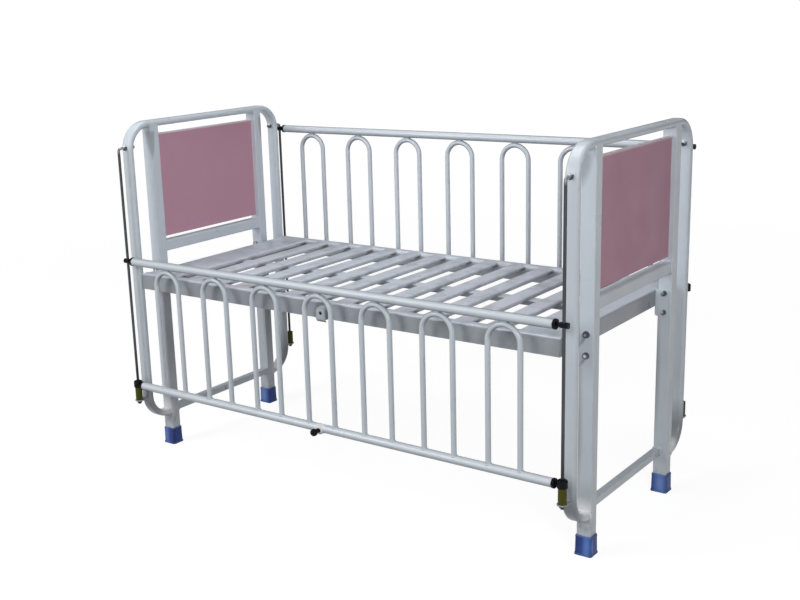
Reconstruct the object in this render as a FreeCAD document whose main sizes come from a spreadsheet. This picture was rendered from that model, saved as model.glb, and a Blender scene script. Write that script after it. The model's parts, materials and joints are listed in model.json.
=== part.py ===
import FreeCAD, Part
import math
import os
import Sketcher

# Child's hospital cot: two tubular ends, a slatted steel deck bolted between them, and a barred
# drop rail on each long side that slides on vertical rods and is held up by a sprung latch pin.
# Millimetres. X runs from the head end to the foot end, Y across the cot and Z up from the floor.
# Each piece is drawn for the foot end or the +Y side; the others are the same piece turned.

DRIVING = [
    # ends
    ("end_mid", 700, "X of the legs, hoops and rods"),
    ("leg_mid", 224, "Y of the leg centres"),
    ("leg_wide", 37, "leg along X"),
    ("leg_deep", 31, "leg along Y"),
    ("leg_round", 2.5, "leg outer corner"),
    ("leg_foot", 6, "leg end inside its boot"),
    ("wall", 1.5, "wall of legs, hoops and cross members"),
    ("hoop_wide", 36.5, "oval tube along X"),
    ("hoop_thick", 19, "oval tube across"),
    ("hoop_mid", 315, "Y of the hoop's upright runs"),
    ("hoop_high", 982.5, "Z of the hoop's top run"),
    ("hoop_low", 105, "Z of the hoop's ends on the legs"),
    ("top_bend", 70, "upper bend"),
    ("low_bend", 70, "lower bend"),
    ("cross_low", 601.5, "underside of the cross rail"),
    ("cross_tall", 32.5, "cross rail height"),
    ("cross_deep", 30, "cross rail along X"),
    ("cross_round", 5, "cross rail corner"),
    ("stretcher_low", 104, "underside of the stretcher"),
    ("stretcher_tall", 20, "stretcher height"),
    ("stretcher_deep", 20, "stretcher along X, flush with the legs' inner sides"),
    ("stretcher_round", 2.5, "stretcher corner"),
    ("drain_dia", 6, "drain hole in the stretcher"),
    ("panel_low", 645.3, "panel's lower edge"),
    ("panel_tall", 306.2, "panel height"),
    ("panel_thick", 14, "panel thickness"),
    ("panel_gap", 0.5, "panel to leg"),
    ("panel_edge", 2, "panel edge rounding"),
    ("dowel_dia", 8, "dowel between leg and panel"),
    ("dowel_long", 22, "dowel length"),
    ("dowel_rise", 70, "dowel to the panel's edge"),
    ("dowel_room", 2, "socket depth beyond the dowel"),
    # boots
    ("boot_wide", 46, "boot base along X"),
    ("boot_deep", 42, "boot base along Y"),
    ("boot_tall", 50.5, "boot height"),
    ("boot_wall", 3, "boot wall at the top"),
    ("boot_draft", 0.7, "widening of the wall down to the base"),
    ("boot_round", 6.5, "boot corner"),
    ("boot_shoulder", 2.4, "rounded rim"),
    ("boot_skirt", 3, "height of the flared base"),
    # deck
    ("deck_long", 1350, "deck along X"),
    ("deck_wide", 644, "deck along Y"),
    ("deck_high", 557, "lying surface"),
    ("deck_tall", 45, "rail height"),
    ("side_wide", 32, "side rail width"),
    ("end_wide", 29, "end rail width"),
    ("rail_round", 6, "outer top edge"),
    ("rail_roll", 9.5, "rolled inner top edge"),
    ("rail_wall", 2, "rail wall"),
    ("slat_count", 14, "slats"),
    ("slat_pitch", 89.6, "slat spacing"),
    ("slat_wide", 51, "slat width"),
    ("slat_tall", 11, "slat depth"),
    ("slat_roll", 8.5, "slat's rolled edge"),
    ("slat_wall", 1.5, "slat sheet"),
    ("beam_wide", 34, "centre beam width"),
    ("beam_tall", 14, "centre beam height"),
    ("lug_thick", 3, "lug plate"),
    ("lug_low", 487, "lug's lower edge"),
    ("lug_high", 558, "lug's upper edge"),
    ("lug_reach", 712, "lug's end"),
    ("lug_round", 6, "lug corner"),
    # fasteners
    ("bolt_dia", 8, "frame bolt"),
    ("bolt_upper", 549, "upper frame bolt"),
    ("bolt_lower", 498.5, "lower frame bolt"),
    ("bolt_head", 5.3, "bolt head height"),
    ("hex_wide", 13, "across flats"),
    ("nut_tall", 6.5, "nut height"),
    ("hole_play", 0.5, "bolt hole over the bolt"),
    ("thread_spare", 2, "bolt past its nut"),
    ("washer_dia", 17, "washer"),
    ("washer_thick", 1.6, "washer thickness"),
    ("washer_play", 0.4, "washer hole over the bolt"),
    # guide rods
    ("rod_mid", 350, "Y of the rods and drop rails"),
    ("rod_dia", 8, "guide rod"),
    ("rod_low", 161, "rod's lower tip"),
    ("rod_pin", 922, "Z of the rod's bent end"),
    ("rod_bend", 8, "rod bend"),
    ("rod_end", 292, "Y of the bent end's tip"),
    ("rod_play", 0.4, "clearance round the rod"),
    ("tab_low", 171, "rod tab's underside"),
    ("tab_thick", 3, "rod tab"),
    ("tab_wide", 26, "rod tab along X"),
    ("bumper_dia", 20.6, "bumper sleeve"),
    ("bumper_tall", 40, "bumper sleeve height"),
    ("bumper_edge", 1.5, "rounded top of the bumper"),
    ("inner_nut", 303, "Y of the inner rod nut's outer face, clear of the hoop's bend"),
    # drop rails
    ("tube_dia", 23, "rail tube"),
    ("tube_wall", 1.2, "rail tube wall"),
    ("tube_low", 220.5, "Z of the lowered bottom tube"),
    ("tube_gap", 376.9, "bottom tube to top tube"),
    ("tube_long", 1350, "rail tube length"),
    ("bar_dia", 14, "bar tube"),
    ("bar_wall", 1.2, "bar tube wall"),
    ("bar_width", 86, "width of one bar loop, centre to centre"),
    ("front_pitch", 182, "spacing of the front rail's bar loops"),
    ("rear_pitch", 186.5, "spacing of the rear rail's bar loops"),
    ("front_shift", 2.5, "X of the front rail's middle loop"),
    ("rear_shift", -4, "X of the rear rail's middle loop"),
    ("bar_count", 7, "bar loops"),
    ("drop", 311, "travel of a drop rail"),
    ("plug_dia", 25, "plug flange"),
    ("plug_thick", 8, "plug flange thickness"),
    ("plug_deep", 25, "plug inside the tube"),
    ("plug_round", 2, "plug flange's edges"),
    ("arm_dia", 10, "arm between flange and rod"),
    ("eye_dia", 14, "top guide's eye"),
    ("eye_back", 9, "eye's reach before the rod"),
    ("eye_reach", 11.5, "eye's reach past the rod"),
    ("collar_dia", 25.5, "bottom guide's collar"),
    ("collar_tall", 19, "bottom guide's collar height"),
    ("collar_round", 4, "collar's top edge"),
    ("rest_gap", 0.3, "collar above the bumper"),
    # latch
    ("latch_sag", 2, "latch axis below the tube's axis"),
    ("pin_dia", 8, "latch pin"),
    ("pin_tip", 17.5, "latch pin's tip from the tube axis"),
    ("pin_edge", 1.5, "bevel of the pin's tip"),
    ("pin_play", 0.3, "clearance round the latch pin"),
    ("boss_dia", 24, "latch boss"),
    ("boss_reach", 14, "latch boss from the tube axis"),
    ("boss_round", 3, "rounded front of the boss"),
    ("boss_seat", 12, "floor of the boss's recess for the knob's neck"),
    ("knob_dia", 20, "knob ball"),
    ("knob_mid", 33, "knob centre from the tube axis"),
    ("knob_play", 0.3, "knob's clearance in the boss"),
    ("neck_dia", 12, "knob neck"),
    ("stop_dia", 11, "stop ring on the pin"),
    ("stop_mid", 5.2, "stop ring from the tube axis, towards the deck"),
    ("stop_thick", 2, "stop ring thickness"),
    ("wire_side", 0.9, "spring wire, square"),
    ("coil_mid", 9.4, "spring coil, mean diameter"),
    ("coil_turns", 3, "spring turns"),
    ("coil_low", -4.1, "spring's end at the stop ring"),
    ("coil_high", 7.2, "spring's end at the tube's wall"),
    ("plate_wide", 29, "catch along X"),
    ("plate_thick", 2, "catch sheet"),
    ("plate_out", 14.5, "catch face from the deck rail"),
    ("plate_high", 547, "catch's rounded top"),
    ("plate_bend", 512, "where the catch's lip is bent"),
    ("plate_lip", 505.5, "catch's lower edge"),
    ("lip_turn", 6, "how far the lip is bent in"),
    ("catch_dia", 10, "catch hole"),
]

doc = FreeCAD.newDocument("cot")
sheet = doc.addObject("Spreadsheet::Sheet", "size")
for row, (alias, value, meaning) in enumerate(DRIVING, start=1):
    sheet.set(f"A{row}", alias)
    sheet.set(f"B{row}", str(value))
    sheet.set(f"C{row}", meaning)
    sheet.setAlias(f"B{row}", alias)
doc.recompute()

ALIASES = {alias for alias, _, _ in DRIVING}
PIECES = []


def formula(text):
    """Writes the sheet's name in front of every alias, so that a feature can be bound to it."""
    words = []
    word = ""
    for letter in text + " ":
        if letter.isalnum() or letter in "_.":
            word += letter
            continue
        words.append("size." + word if word in ALIASES else word)
        words.append(letter)
        word = ""
    return "".join(words).strip()


def worth(text):
    """The value of a formula in millimetres or degrees."""
    found = sheet.evalExpression(formula(text))
    return float(getattr(found, "Value", found))


def bind(item, name, text):
    item.setExpression(name, formula(text))


def body(label, x="0", y="0", z="0", turn=0):
    made = doc.addObject("PartDesign::Body", label)
    made.Label = label
    made.AllowCompound = True
    spin = FreeCAD.Rotation(FreeCAD.Vector(0, 0, 1), turn)
    made.Placement = FreeCAD.Placement(FreeCAD.Vector(worth(x), worth(y), worth(z)), spin)
    PIECES.append(made)
    return made


def sketch(owner, name, role, offset="0"):
    """A sketch on one of the body's own planes. XY looks along Z, XZ along -Y and YZ along X."""
    drawn = owner.newObject("Sketcher::SketchObject", f"{owner.Label}_{name}")
    plane = [item for item in owner.Origin.OriginFeatures if item.Role == role][0]
    drawn.AttachmentSupport = [(plane, "")]
    drawn.MapMode = "FlatFace"
    bind(drawn, "AttachmentOffset.Base.z", offset)
    return drawn


def fix_point(drawn, item, end, x, y):
    """Holds one end of a line or arc, or a circle's centre, at a bound place."""
    for kind, text in (("DistanceX", x), ("DistanceY", y)):
        index = drawn.addConstraint(Sketcher.Constraint(kind, -1, 1, item, end, worth(text)))
        bind(drawn, f"Constraints[{index}]", text)


def circle(drawn, x, y, diameter):
    centre = FreeCAD.Vector(worth(x), worth(y), 0)
    round_edge = Part.Circle(centre, FreeCAD.Vector(0, 0, 1), worth(diameter) / 2)
    item = drawn.addGeometry(round_edge, False)
    fix_point(drawn, item, 3, x, y)
    index = drawn.addConstraint(Sketcher.Constraint("Diameter", item, worth(diameter)))
    bind(drawn, f"Constraints[{index}]", diameter)


def arc_centre(start, end, radius, left):
    """The centre of the shorter arc from start to end; left means that it turns anticlockwise."""
    chord = end - start
    half = chord.Length / 2
    reach = math.sqrt(max(radius * radius - half * half, 0))
    side = FreeCAD.Vector(-chord.y, chord.x, 0).normalize() * (reach if left else -reach)
    return (start + end) * 0.5 + side


def hold_half_circle(drawn, item, start, end, here, there):
    """A half circle takes its size from its ends, so only its centre needs holding between them."""
    kind, axis = ("DistanceX", 0) if abs(there.y - here.y) > abs(there.x - here.x) else ("DistanceY", 1)
    middle = f"(({start[axis]}) + ({end[axis]})) / 2"
    index = drawn.addConstraint(Sketcher.Constraint(kind, -1, 1, item, 3, worth(middle)))
    bind(drawn, f"Constraints[{index}]", middle)


def chain(drawn, start, steps):
    """Lines and arcs end to end. A step is (x, y), or (x, y, radius, left) for an arc; the chain
    closes if its last step comes back to its start. Every end and radius is bound to the sheet."""
    here = FreeCAD.Vector(worth(start[0]), worth(start[1]), 0)
    first = here
    first_item = None
    last = None
    behind = start
    for step in steps:
        there = FreeCAD.Vector(worth(step[0]), worth(step[1]), 0)
        head, tail = 1, 2
        if len(step) == 2:
            item = drawn.addGeometry(Part.LineSegment(here, there), False)
        else:
            radius, left = worth(step[2]), step[3]
            centre = arc_centre(here, there, radius, left)
            low, high = (here, there) if left else (there, here)
            if not left:
                head, tail = 2, 1
            edge = Part.Circle(centre, FreeCAD.Vector(0, 0, 1), radius)
            turn_low = math.atan2(low.y - centre.y, low.x - centre.x)
            turn_high = math.atan2(high.y - centre.y, high.x - centre.x)
            item = drawn.addGeometry(Part.ArcOfCircle(edge, turn_low, turn_high), False)
            if (there - here).Length < 2 * radius - 1e-6:
                index = drawn.addConstraint(Sketcher.Constraint("Radius", item, radius))
                bind(drawn, f"Constraints[{index}]", step[2])
            else:
                hold_half_circle(drawn, item, behind, step, here, there)
        if last is None:
            fix_point(drawn, item, head, start[0], start[1])
            first_item = (item, head)
        else:
            drawn.addConstraint(Sketcher.Constraint("Coincident", last[0], last[1], item, head))
        if step is steps[-1] and there.distanceToPoint(first) < 1e-6:
            drawn.addConstraint(Sketcher.Constraint("Coincident", item, tail, *first_item))
        else:
            fix_point(drawn, item, tail, step[0], step[1])
        last = (item, tail)
        here = there
        behind = step


def rounded(drawn, left, right, low, high, radius):
    """A rectangle with round corners, drawn anticlockwise from its lower left corner."""
    inner_left, inner_right = f"{left} + {radius}", f"{right} - {radius}"
    inner_low, inner_high = f"{low} + {radius}", f"{high} - {radius}"
    chain(drawn, (inner_left, low), [
        (inner_right, low),
        (right, inner_low, radius, True),
        (right, inner_high),
        (inner_right, high, radius, True),
        (inner_left, high),
        (left, inner_high, radius, True),
        (left, inner_low),
        (inner_left, low, radius, True),
    ])


def hollow_box(drawn, left, right, low, high, radius, wall):
    """The outer and inner outlines of a square tube."""
    rounded(drawn, left, right, low, high, radius)
    inside = f"({radius} - {wall})"
    rounded(drawn, f"{left} + {wall}", f"{right} - {wall}", f"{low} + {wall}", f"{high} - {wall}", inside)


def pad(owner, drawn, name, length, both_ways=False, backwards=False):
    made = owner.newObject("PartDesign::Pad", f"{owner.Label}_{name}")
    made.Profile = drawn
    made.SideType = "Symmetric" if both_ways else "One side"
    made.Reversed = backwards
    bind(made, "Length", length)
    doc.recompute()
    return made


def pocket(owner, drawn, name, length, both_ways=False, backwards=False):
    """Cuts a sketch through the body, and makes sure that it did cut."""
    before = owner.Shape.Volume
    made = owner.newObject("PartDesign::Pocket", f"{owner.Label}_{name}")
    made.Profile = drawn
    made.SideType = "Symmetric" if both_ways else "One side"
    made.Reversed = backwards
    bind(made, "Length", length)
    doc.recompute()
    if made.Shape.Volume > before - 1:
        raise RuntimeError(f"{made.Label} cuts nothing")
    return made


def sweep(owner, profile, spine, name):
    made = owner.newObject("PartDesign::AdditivePipe", f"{owner.Label}_{name}")
    made.Profile = profile
    made.Spine = (spine, [])
    doc.recompute()
    return made


def turned(owner, name, start, steps):
    """A solid of revolution about the body's Z axis, from an outline in its XZ plane."""
    outline = sketch(owner, name + "_outline", "XZ_Plane")
    chain(outline, start, steps)
    made = owner.newObject("PartDesign::Revolution", f"{owner.Label}_{name}")
    made.Profile = outline
    axis = [item for item in owner.Origin.OriginFeatures if item.Role == "Z_Axis"][0]
    made.ReferenceAxis = (axis, [""])
    made.Angle = 360
    doc.recompute()
    return made


def pattern(owner, feature, name, role, count, spacing):
    """Repeats a feature along one of the body's axes."""
    made = owner.newObject("PartDesign::LinearPattern", f"{owner.Label}_{name}")
    made.Originals = [feature]
    axis = [item for item in owner.Origin.OriginFeatures if item.Role == role][0]
    made.Direction = (axis, [""])
    made.Mode = "Spacing"
    bind(made, "Offset", spacing)
    bind(made, "Occurrences", count)
    owner.Tip = made
    doc.recompute()
    return made


def group(label, pattern_piece, places):
    """One node of identical pieces: copies of a piece at (x, y, z, turn about Z)."""
    copies = []
    for x, y, z, turn in places:
        copy = pattern_piece.copy()
        spin = FreeCAD.Rotation(FreeCAD.Vector(0, 0, 1), turn)
        copy.Placement = FreeCAD.Placement(FreeCAD.Vector(x, y, z), spin)
        copies.append(copy)
    made = doc.addObject("Part::Feature", label)
    made.Label = label
    made.Shape = Part.makeCompound(copies)
    PIECES.append(made)
    return made


def pattern_for(label):
    """A body that is only copied into groups, so it isn't written as a piece of its own."""
    made = body(label)
    PIECES.remove(made)
    return made


ENDS = (("head", -1), ("foot", 1))
SIDES = (("front", -1), ("rear", 1))


def turn_of(sign):
    """Pieces are drawn for the positive side, and turned round for the negative one."""
    return 0 if sign > 0 else 180


# ---------------------------------------------------------------- cot ends


def oval(drawn, y, trim):
    """A flat-oval outline, hoop_wide by hoop_thick, smaller by trim all round."""
    flat = "(hoop_wide - hoop_thick) / 2"
    radius = f"(hoop_thick / 2 - {trim})"
    chain(drawn, (f"-{flat}", f"{y} - {radius}"), [
        (flat, f"{y} - {radius}"),
        (flat, f"{y} + {radius}", radius, True),
        (f"-{flat}", f"{y} + {radius}"),
        (f"-{flat}", f"{y} - {radius}", radius, True),
    ])


def make_hoop(end, sign):
    """One length of oval tube, from the outside of one leg over the top to the other leg."""
    hoop = body(f"{end}_hoop", x=f"{sign} * end_mid")
    leg_face = "(leg_mid + leg_deep / 2)"
    profile = sketch(hoop, "section", "XZ_Plane", f"-{leg_face}")
    oval(profile, "hoop_low", "0")
    oval(profile, "hoop_low", "wall")
    route = sketch(hoop, "route", "YZ_Plane")
    low_turn, top_turn = "hoop_mid - low_bend", "hoop_mid - top_bend"
    low_rise, top_rise = "hoop_low + low_bend", "hoop_high - top_bend"
    chain(route, (leg_face, "hoop_low"), [
        (low_turn, "hoop_low"),
        ("hoop_mid", low_rise, "low_bend", True),
        ("hoop_mid", top_rise),
        (top_turn, "hoop_high", "top_bend", True),
        (f"-({top_turn})", "hoop_high"),
        ("-hoop_mid", top_rise, "top_bend", True),
        ("-hoop_mid", low_rise),
        (f"-({low_turn})", "hoop_low", "low_bend", True),
        (f"-{leg_face}", "hoop_low"),
    ])
    doc.recompute()
    sweep(hoop, profile, route, "tube")
    pin_hole = sketch(hoop, "pin_hole", "XZ_Plane")
    circle(pin_hole, "0", "rod_pin", "rod_dia + rod_play")
    pocket(hoop, pin_hole, "pin_holes", "2 * (hoop_mid + hoop_thick)", both_ways=True)


def make_leg(end, end_sign, side, side_sign):
    """A square tube, saddled at the top to take the hoop."""
    leg = body(f"{end}_leg_{side}", x=f"{end_sign} * end_mid", y=f"{side_sign} * leg_mid",
               turn=turn_of(side_sign))
    section = sketch(leg, "section", "XY_Plane", "leg_foot")
    hollow_box(section, "-leg_wide / 2", "leg_wide / 2", "-leg_deep / 2", "leg_deep / 2", "leg_round", "wall")
    pad(leg, section, "tube", "hoop_high - leg_foot")
    saddle = sketch(leg, "saddle", "XZ_Plane")
    oval(saddle, "hoop_high", "0")
    pocket(leg, saddle, "saddle_cut", "2 * leg_deep", both_ways=True)
    bolt_holes = sketch(leg, "bolt_holes", "XZ_Plane")
    circle(bolt_holes, "0", "bolt_upper", "bolt_dia + hole_play")
    circle(bolt_holes, "0", "bolt_lower", "bolt_dia + hole_play")
    pocket(leg, bolt_holes, "bolt_hole", "2 * leg_deep", both_ways=True)
    dowel_holes = sketch(leg, "dowel_holes", "XZ_Plane")
    circle(dowel_holes, "0", "panel_low + dowel_rise", "dowel_dia")
    circle(dowel_holes, "0", "panel_low + panel_tall - dowel_rise", "dowel_dia")
    pocket(leg, dowel_holes, "dowel_hole", "leg_deep", backwards=True)


def make_cross_member(label, middle, low, tall, deep, corner):
    """A square tube between the two legs of one end."""
    member = body(label, x=middle, z=low)
    section = sketch(member, "section", "XZ_Plane")
    hollow_box(section, f"-{deep} / 2", f"{deep} / 2", "0", tall, corner, "wall")
    pad(member, section, "tube", "2 * leg_mid - leg_deep", both_ways=True)
    return member


def make_panel(end, sign):
    panel = body(f"{end}_panel", x=f"{sign} * end_mid", z="panel_low")
    half = "(leg_mid - leg_deep / 2 - panel_gap)"
    outline = sketch(panel, "outline", "YZ_Plane")
    rounded(outline, f"-{half}", half, "0", "panel_tall", "leg_round")
    board = pad(panel, outline, "board", "panel_thick", both_ways=True)
    softened = panel.newObject("PartDesign::Fillet", f"{end}_panel_edges")
    faces = [f"Face{i + 1}" for i, face in enumerate(board.Shape.Faces) if abs(face.normalAt(0, 0).x) > 0.9]
    softened.Base = (board, faces)
    bind(softened, "Radius", "panel_edge")
    doc.recompute()
    for height in ("dowel_rise", "panel_tall - dowel_rise"):
        socket = sketch(panel, f"socket_{len(panel.Group)}", "XZ_Plane", half)
        circle(socket, "0", height, "dowel_dia")
        pocket(panel, socket, f"socket_cut_{len(panel.Group)}", "dowel_long / 2 + dowel_room")
        far_socket = sketch(panel, f"socket_{len(panel.Group)}", "XZ_Plane", f"-{half}")
        circle(far_socket, "0", height, "dowel_dia")
        pocket(panel, far_socket, f"socket_cut_{len(panel.Group)}", "dowel_long / 2 + dowel_room",
               backwards=True)


def make_dowels():
    """Eight dowels, four to an end, that hold the panels between the legs."""
    dowel = pattern_for("dowel")
    section = sketch(dowel, "section", "XZ_Plane")
    circle(section, "0", "0", "dowel_dia")
    pad(dowel, section, "rod", "dowel_long", both_ways=True)
    places = []
    for _, end_sign in ENDS:
        for _, side_sign in SIDES:
            for height in ("panel_low + dowel_rise", "panel_low + panel_tall - dowel_rise"):
                across = side_sign * worth("leg_mid - leg_deep / 2")
                places.append((end_sign * worth("end_mid"), across, worth(height), 0))
    group("panel_dowels", dowel.Shape, places)


def make_boot(end, end_sign, side, side_sign):
    """A moulded boot: a flared skirt, slightly tapered walls, a soft rim and a pocket for the leg."""
    boot = body(f"{end}_boot_{side}", x=f"{end_sign} * end_mid", y=f"{side_sign} * leg_mid")
    skirt = sketch(boot, "skirt", "XY_Plane")
    rounded(skirt, "-boot_wide / 2", "boot_wide / 2", "-boot_deep / 2", "boot_deep / 2", "boot_round")
    pad(boot, skirt, "skirt_pad", "boot_skirt")
    half_x, half_y = "(leg_wide / 2 + boot_wall)", "(leg_deep / 2 + boot_wall)"
    foot = sketch(boot, "foot", "XY_Plane", "boot_skirt")
    low_x, low_y = f"({half_x} + boot_draft)", f"({half_y} + boot_draft)"
    rounded(foot, f"-{low_x}", low_x, f"-{low_y}", low_y, "boot_round")
    top = sketch(boot, "top", "XY_Plane", "boot_tall")
    rounded(top, f"-{half_x}", half_x, f"-{half_y}", half_y, "boot_round")
    wall = boot.newObject("PartDesign::AdditiveLoft", f"{boot.Label}_wall")
    wall.Profile = foot
    wall.Sections = [top]
    wall.Ruled = True
    doc.recompute()
    softened = boot.newObject("PartDesign::Fillet", f"{boot.Label}_rim")
    rims = []
    for index, edge in enumerate(wall.Shape.Edges):
        if edge.BoundBox.ZMin > worth("boot_tall") - 0.01:
            rims.append(f"Edge{index + 1}")
    softened.Base = (wall, rims)
    bind(softened, "Radius", "boot_shoulder")
    doc.recompute()
    cavity = sketch(boot, "cavity", "XY_Plane", "leg_foot")
    rounded(cavity, "-leg_wide / 2", "leg_wide / 2", "-leg_deep / 2", "leg_deep / 2", "leg_round")
    pocket(boot, cavity, "pocket", "boot_tall", backwards=True)


# ---------------------------------------------------------------- deck


def rail_outline(drawn, width, trim, place):
    """A rail's section: square below, a small round outside and a rolled edge inside on top."""
    outer, inner = f"{place} - {trim}", f"{place} - {width} + {trim}"
    low, high = f"deck_high - deck_tall + {trim}", f"deck_high - {trim}"
    small, roll = f"(rail_round - {trim})", f"(rail_roll - {trim})"
    chain(drawn, (inner, low), [
        (outer, low),
        (outer, f"{high} - {small}"),
        (f"{outer} - {small}", high, small, True),
        (f"{inner} + {roll}", high),
        (inner, f"{high} - {roll}", roll, True),
        (inner, low),
    ])


def make_deck_side(side, sign):
    """A long rail of the deck."""
    rail = body(f"deck_rail_{side}", turn=turn_of(sign))
    section = sketch(rail, "section", "YZ_Plane")
    rail_outline(section, "side_wide", "0", "deck_wide / 2")
    rail_outline(section, "side_wide", "rail_wall", "deck_wide / 2")
    pad(rail, section, "tube", "deck_long", both_ways=True)


def cope(owner, length):
    """Trims both ends of a crosswise member to sit against the side rails' rolled inner edges."""
    face, shelf = "deck_wide / 2 - side_wide", "deck_wide / 2"
    low = "deck_high - deck_tall - 5"
    for sign in ("1", "-1"):
        trim = sketch(owner, f"cope_{len(owner.Group)}", "YZ_Plane")
        chain(trim, (f"{sign} * ({face})", low), [
            (f"{sign} * ({face})", "deck_high - rail_roll"),
            (f"{sign} * ({face} + rail_roll)", "deck_high", "rail_roll", sign == "-1"),
            (f"{sign} * ({shelf})", "deck_high"),
            (f"{sign} * ({shelf})", low),
            (f"{sign} * ({face})", low),
        ])
        pocket(owner, trim, f"cope_cut_{len(owner.Group)}", length, both_ways=True)


def make_deck_end(end, sign):
    rail = body(f"deck_rail_{end}", turn=turn_of(sign))
    section = sketch(rail, "section", "XZ_Plane")
    rail_outline(section, "end_wide", "0", "deck_long / 2")
    rail_outline(section, "end_wide", "rail_wall", "deck_long / 2")
    pad(rail, section, "tube", "deck_wide - 2 * side_wide + 2 * rail_roll", both_ways=True)
    cope(rail, "2 * deck_long")


def make_slats():
    """Fourteen inverted channels with rolled edges, flush with the side rails."""
    slats = body("deck_slats")
    left = "(-slat_pitch * (slat_count - 1) / 2)"
    section = sketch(slats, "section", "XZ_Plane")
    half, low, high = "slat_wide / 2", "deck_high - slat_tall", "deck_high"
    inside = "(slat_roll - slat_wall)"
    chain(section, (f"{left} - {half}", low), [
        (f"{left} - {half} + slat_wall", low),
        (f"{left} - {half} + slat_wall", f"{high} - slat_roll"),
        (f"{left} - {half} + slat_roll", f"{high} - slat_wall", inside, False),
        (f"{left} + {half} - slat_roll", f"{high} - slat_wall"),
        (f"{left} + {half} - slat_wall", f"{high} - slat_roll", inside, False),
        (f"{left} + {half} - slat_wall", low),
        (f"{left} + {half}", low),
        (f"{left} + {half}", f"{high} - slat_roll"),
        (f"{left} + {half} - slat_roll", high, "slat_roll", True),
        (f"{left} - {half} + slat_roll", high),
        (f"{left} - {half}", f"{high} - slat_roll", "slat_roll", True),
        (f"{left} - {half}", low),
    ])
    first = pad(slats, section, "slat", "deck_wide - 2 * side_wide + 2 * rail_roll", both_ways=True)
    pattern(slats, first, "row", "X_Axis", "slat_count", "slat_pitch")
    cope(slats, "2 * deck_long")


def make_beam():
    """A flat tube under the slats' middles, from end rail to end rail."""
    beam = body("deck_centre_beam", z="deck_high - slat_tall - beam_tall")
    section = sketch(beam, "section", "YZ_Plane")
    hollow_box(section, "-beam_wide / 2", "beam_wide / 2", "0", "beam_tall", "leg_round", "wall")
    pad(beam, section, "tube", "deck_long - 2 * end_wide", both_ways=True)


def make_lugs():
    """Four plates welded to the deck's ends, each bolted flat to the inside of a leg."""
    lug = pattern_for("lug")
    outline = sketch(lug, "outline", "XZ_Plane")
    chain(outline, ("deck_long / 2", "lug_low + lug_round"), [
        ("deck_long / 2 + lug_round", "lug_low", "lug_round", True),
        ("lug_reach - lug_round", "lug_low"),
        ("lug_reach", "lug_low + lug_round", "lug_round", True),
        ("lug_reach", "lug_high - lug_round"),
        ("lug_reach - lug_round", "lug_high", "lug_round", True),
        ("deck_long / 2", "lug_high"),
        ("deck_long / 2", "lug_low + lug_round"),
    ])
    circle(outline, "end_mid", "bolt_upper", "bolt_dia + hole_play")
    circle(outline, "end_mid", "bolt_lower", "bolt_dia + hole_play")
    pad(lug, outline, "plate", "lug_thick", both_ways=True)
    across = worth("leg_mid - leg_deep / 2 - lug_thick / 2")
    places = []
    for _, end_sign in ENDS:
        for _, side_sign in SIDES:
            places.append((0, side_sign * across, 0, turn_of(end_sign)))
    group("deck_lugs", lug.Shape, places)


# ---------------------------------------------------------------- fasteners


def hexagon(drawn, across_flats):
    """A hexagon with a flat on each side of the sketch's X axis."""
    corner = f"({across_flats}) / sqrt(3)"
    points = []
    for step in range(6):
        points.append((f"{corner} * cos({60 * step + 30})", f"{corner} * sin({60 * step + 30})"))
    chain(drawn, points[0], points[1:] + points[:1])


def make_frame_fasteners():
    """Bolts across the legs: head and washer outside, nut inside against the lug."""
    outside = worth("leg_mid + leg_deep / 2")
    inside = worth("leg_mid - leg_deep / 2 - lug_thick")
    bolt = pattern_for("bolt")
    shank = sketch(bolt, "shank", "XZ_Plane")
    circle(shank, "0", "0", "bolt_dia")
    pad(bolt, shank, "shank_rod", "washer_thick + leg_deep + lug_thick + nut_tall + thread_spare")
    head = sketch(bolt, "head", "XZ_Plane")
    hexagon(head, "hex_wide")
    pad(bolt, head, "head_block", "bolt_head", backwards=True)
    washer = pattern_for("washer")
    ring = sketch(washer, "ring", "XZ_Plane")
    circle(ring, "0", "0", "washer_dia")
    circle(ring, "0", "0", "bolt_dia + washer_play")
    pad(washer, ring, "disc", "washer_thick", backwards=True)
    nut = pattern_for("nut")
    block = sketch(nut, "block", "XZ_Plane")
    hexagon(block, "hex_wide")
    circle(block, "0", "0", "bolt_dia")
    pad(nut, block, "hexagon", "nut_tall")
    bolts, washers, nuts = [], [], []
    for _, end_sign in ENDS:
        for _, side_sign in SIDES:
            for height in ("bolt_upper", "bolt_lower"):
                along, rise, turn = end_sign * worth("end_mid"), worth(height), turn_of(side_sign)
                bolts.append((along, side_sign * (outside + worth("washer_thick")), rise, turn))
                washers.append((along, side_sign * outside, rise, turn))
                nuts.append((along, side_sign * inside, rise, turn))
    group("frame_bolts", bolt.Shape, bolts)
    group("frame_washers", washer.Shape, washers)
    group("frame_nuts", nut.Shape, nuts)


# ---------------------------------------------------------------- guide rods


def make_rod(end, end_sign, side, side_sign):
    """A rod beside the hoop: its foot in the tab, its bent top through the hoop's upright."""
    rod = body(f"{end}_guide_rod_{side}", x=f"{end_sign} * end_mid", turn=turn_of(side_sign))
    section = sketch(rod, "section", "XY_Plane", "rod_low")
    circle(section, "0", "rod_mid", "rod_dia")
    route = sketch(rod, "route", "YZ_Plane")
    chain(route, ("rod_mid", "rod_low"), [
        ("rod_mid", "rod_pin - rod_bend"),
        ("rod_mid - rod_bend", "rod_pin", "rod_bend", True),
        ("rod_end", "rod_pin"),
    ])
    doc.recompute()
    sweep(rod, section, route, "bent_rod")


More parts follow.
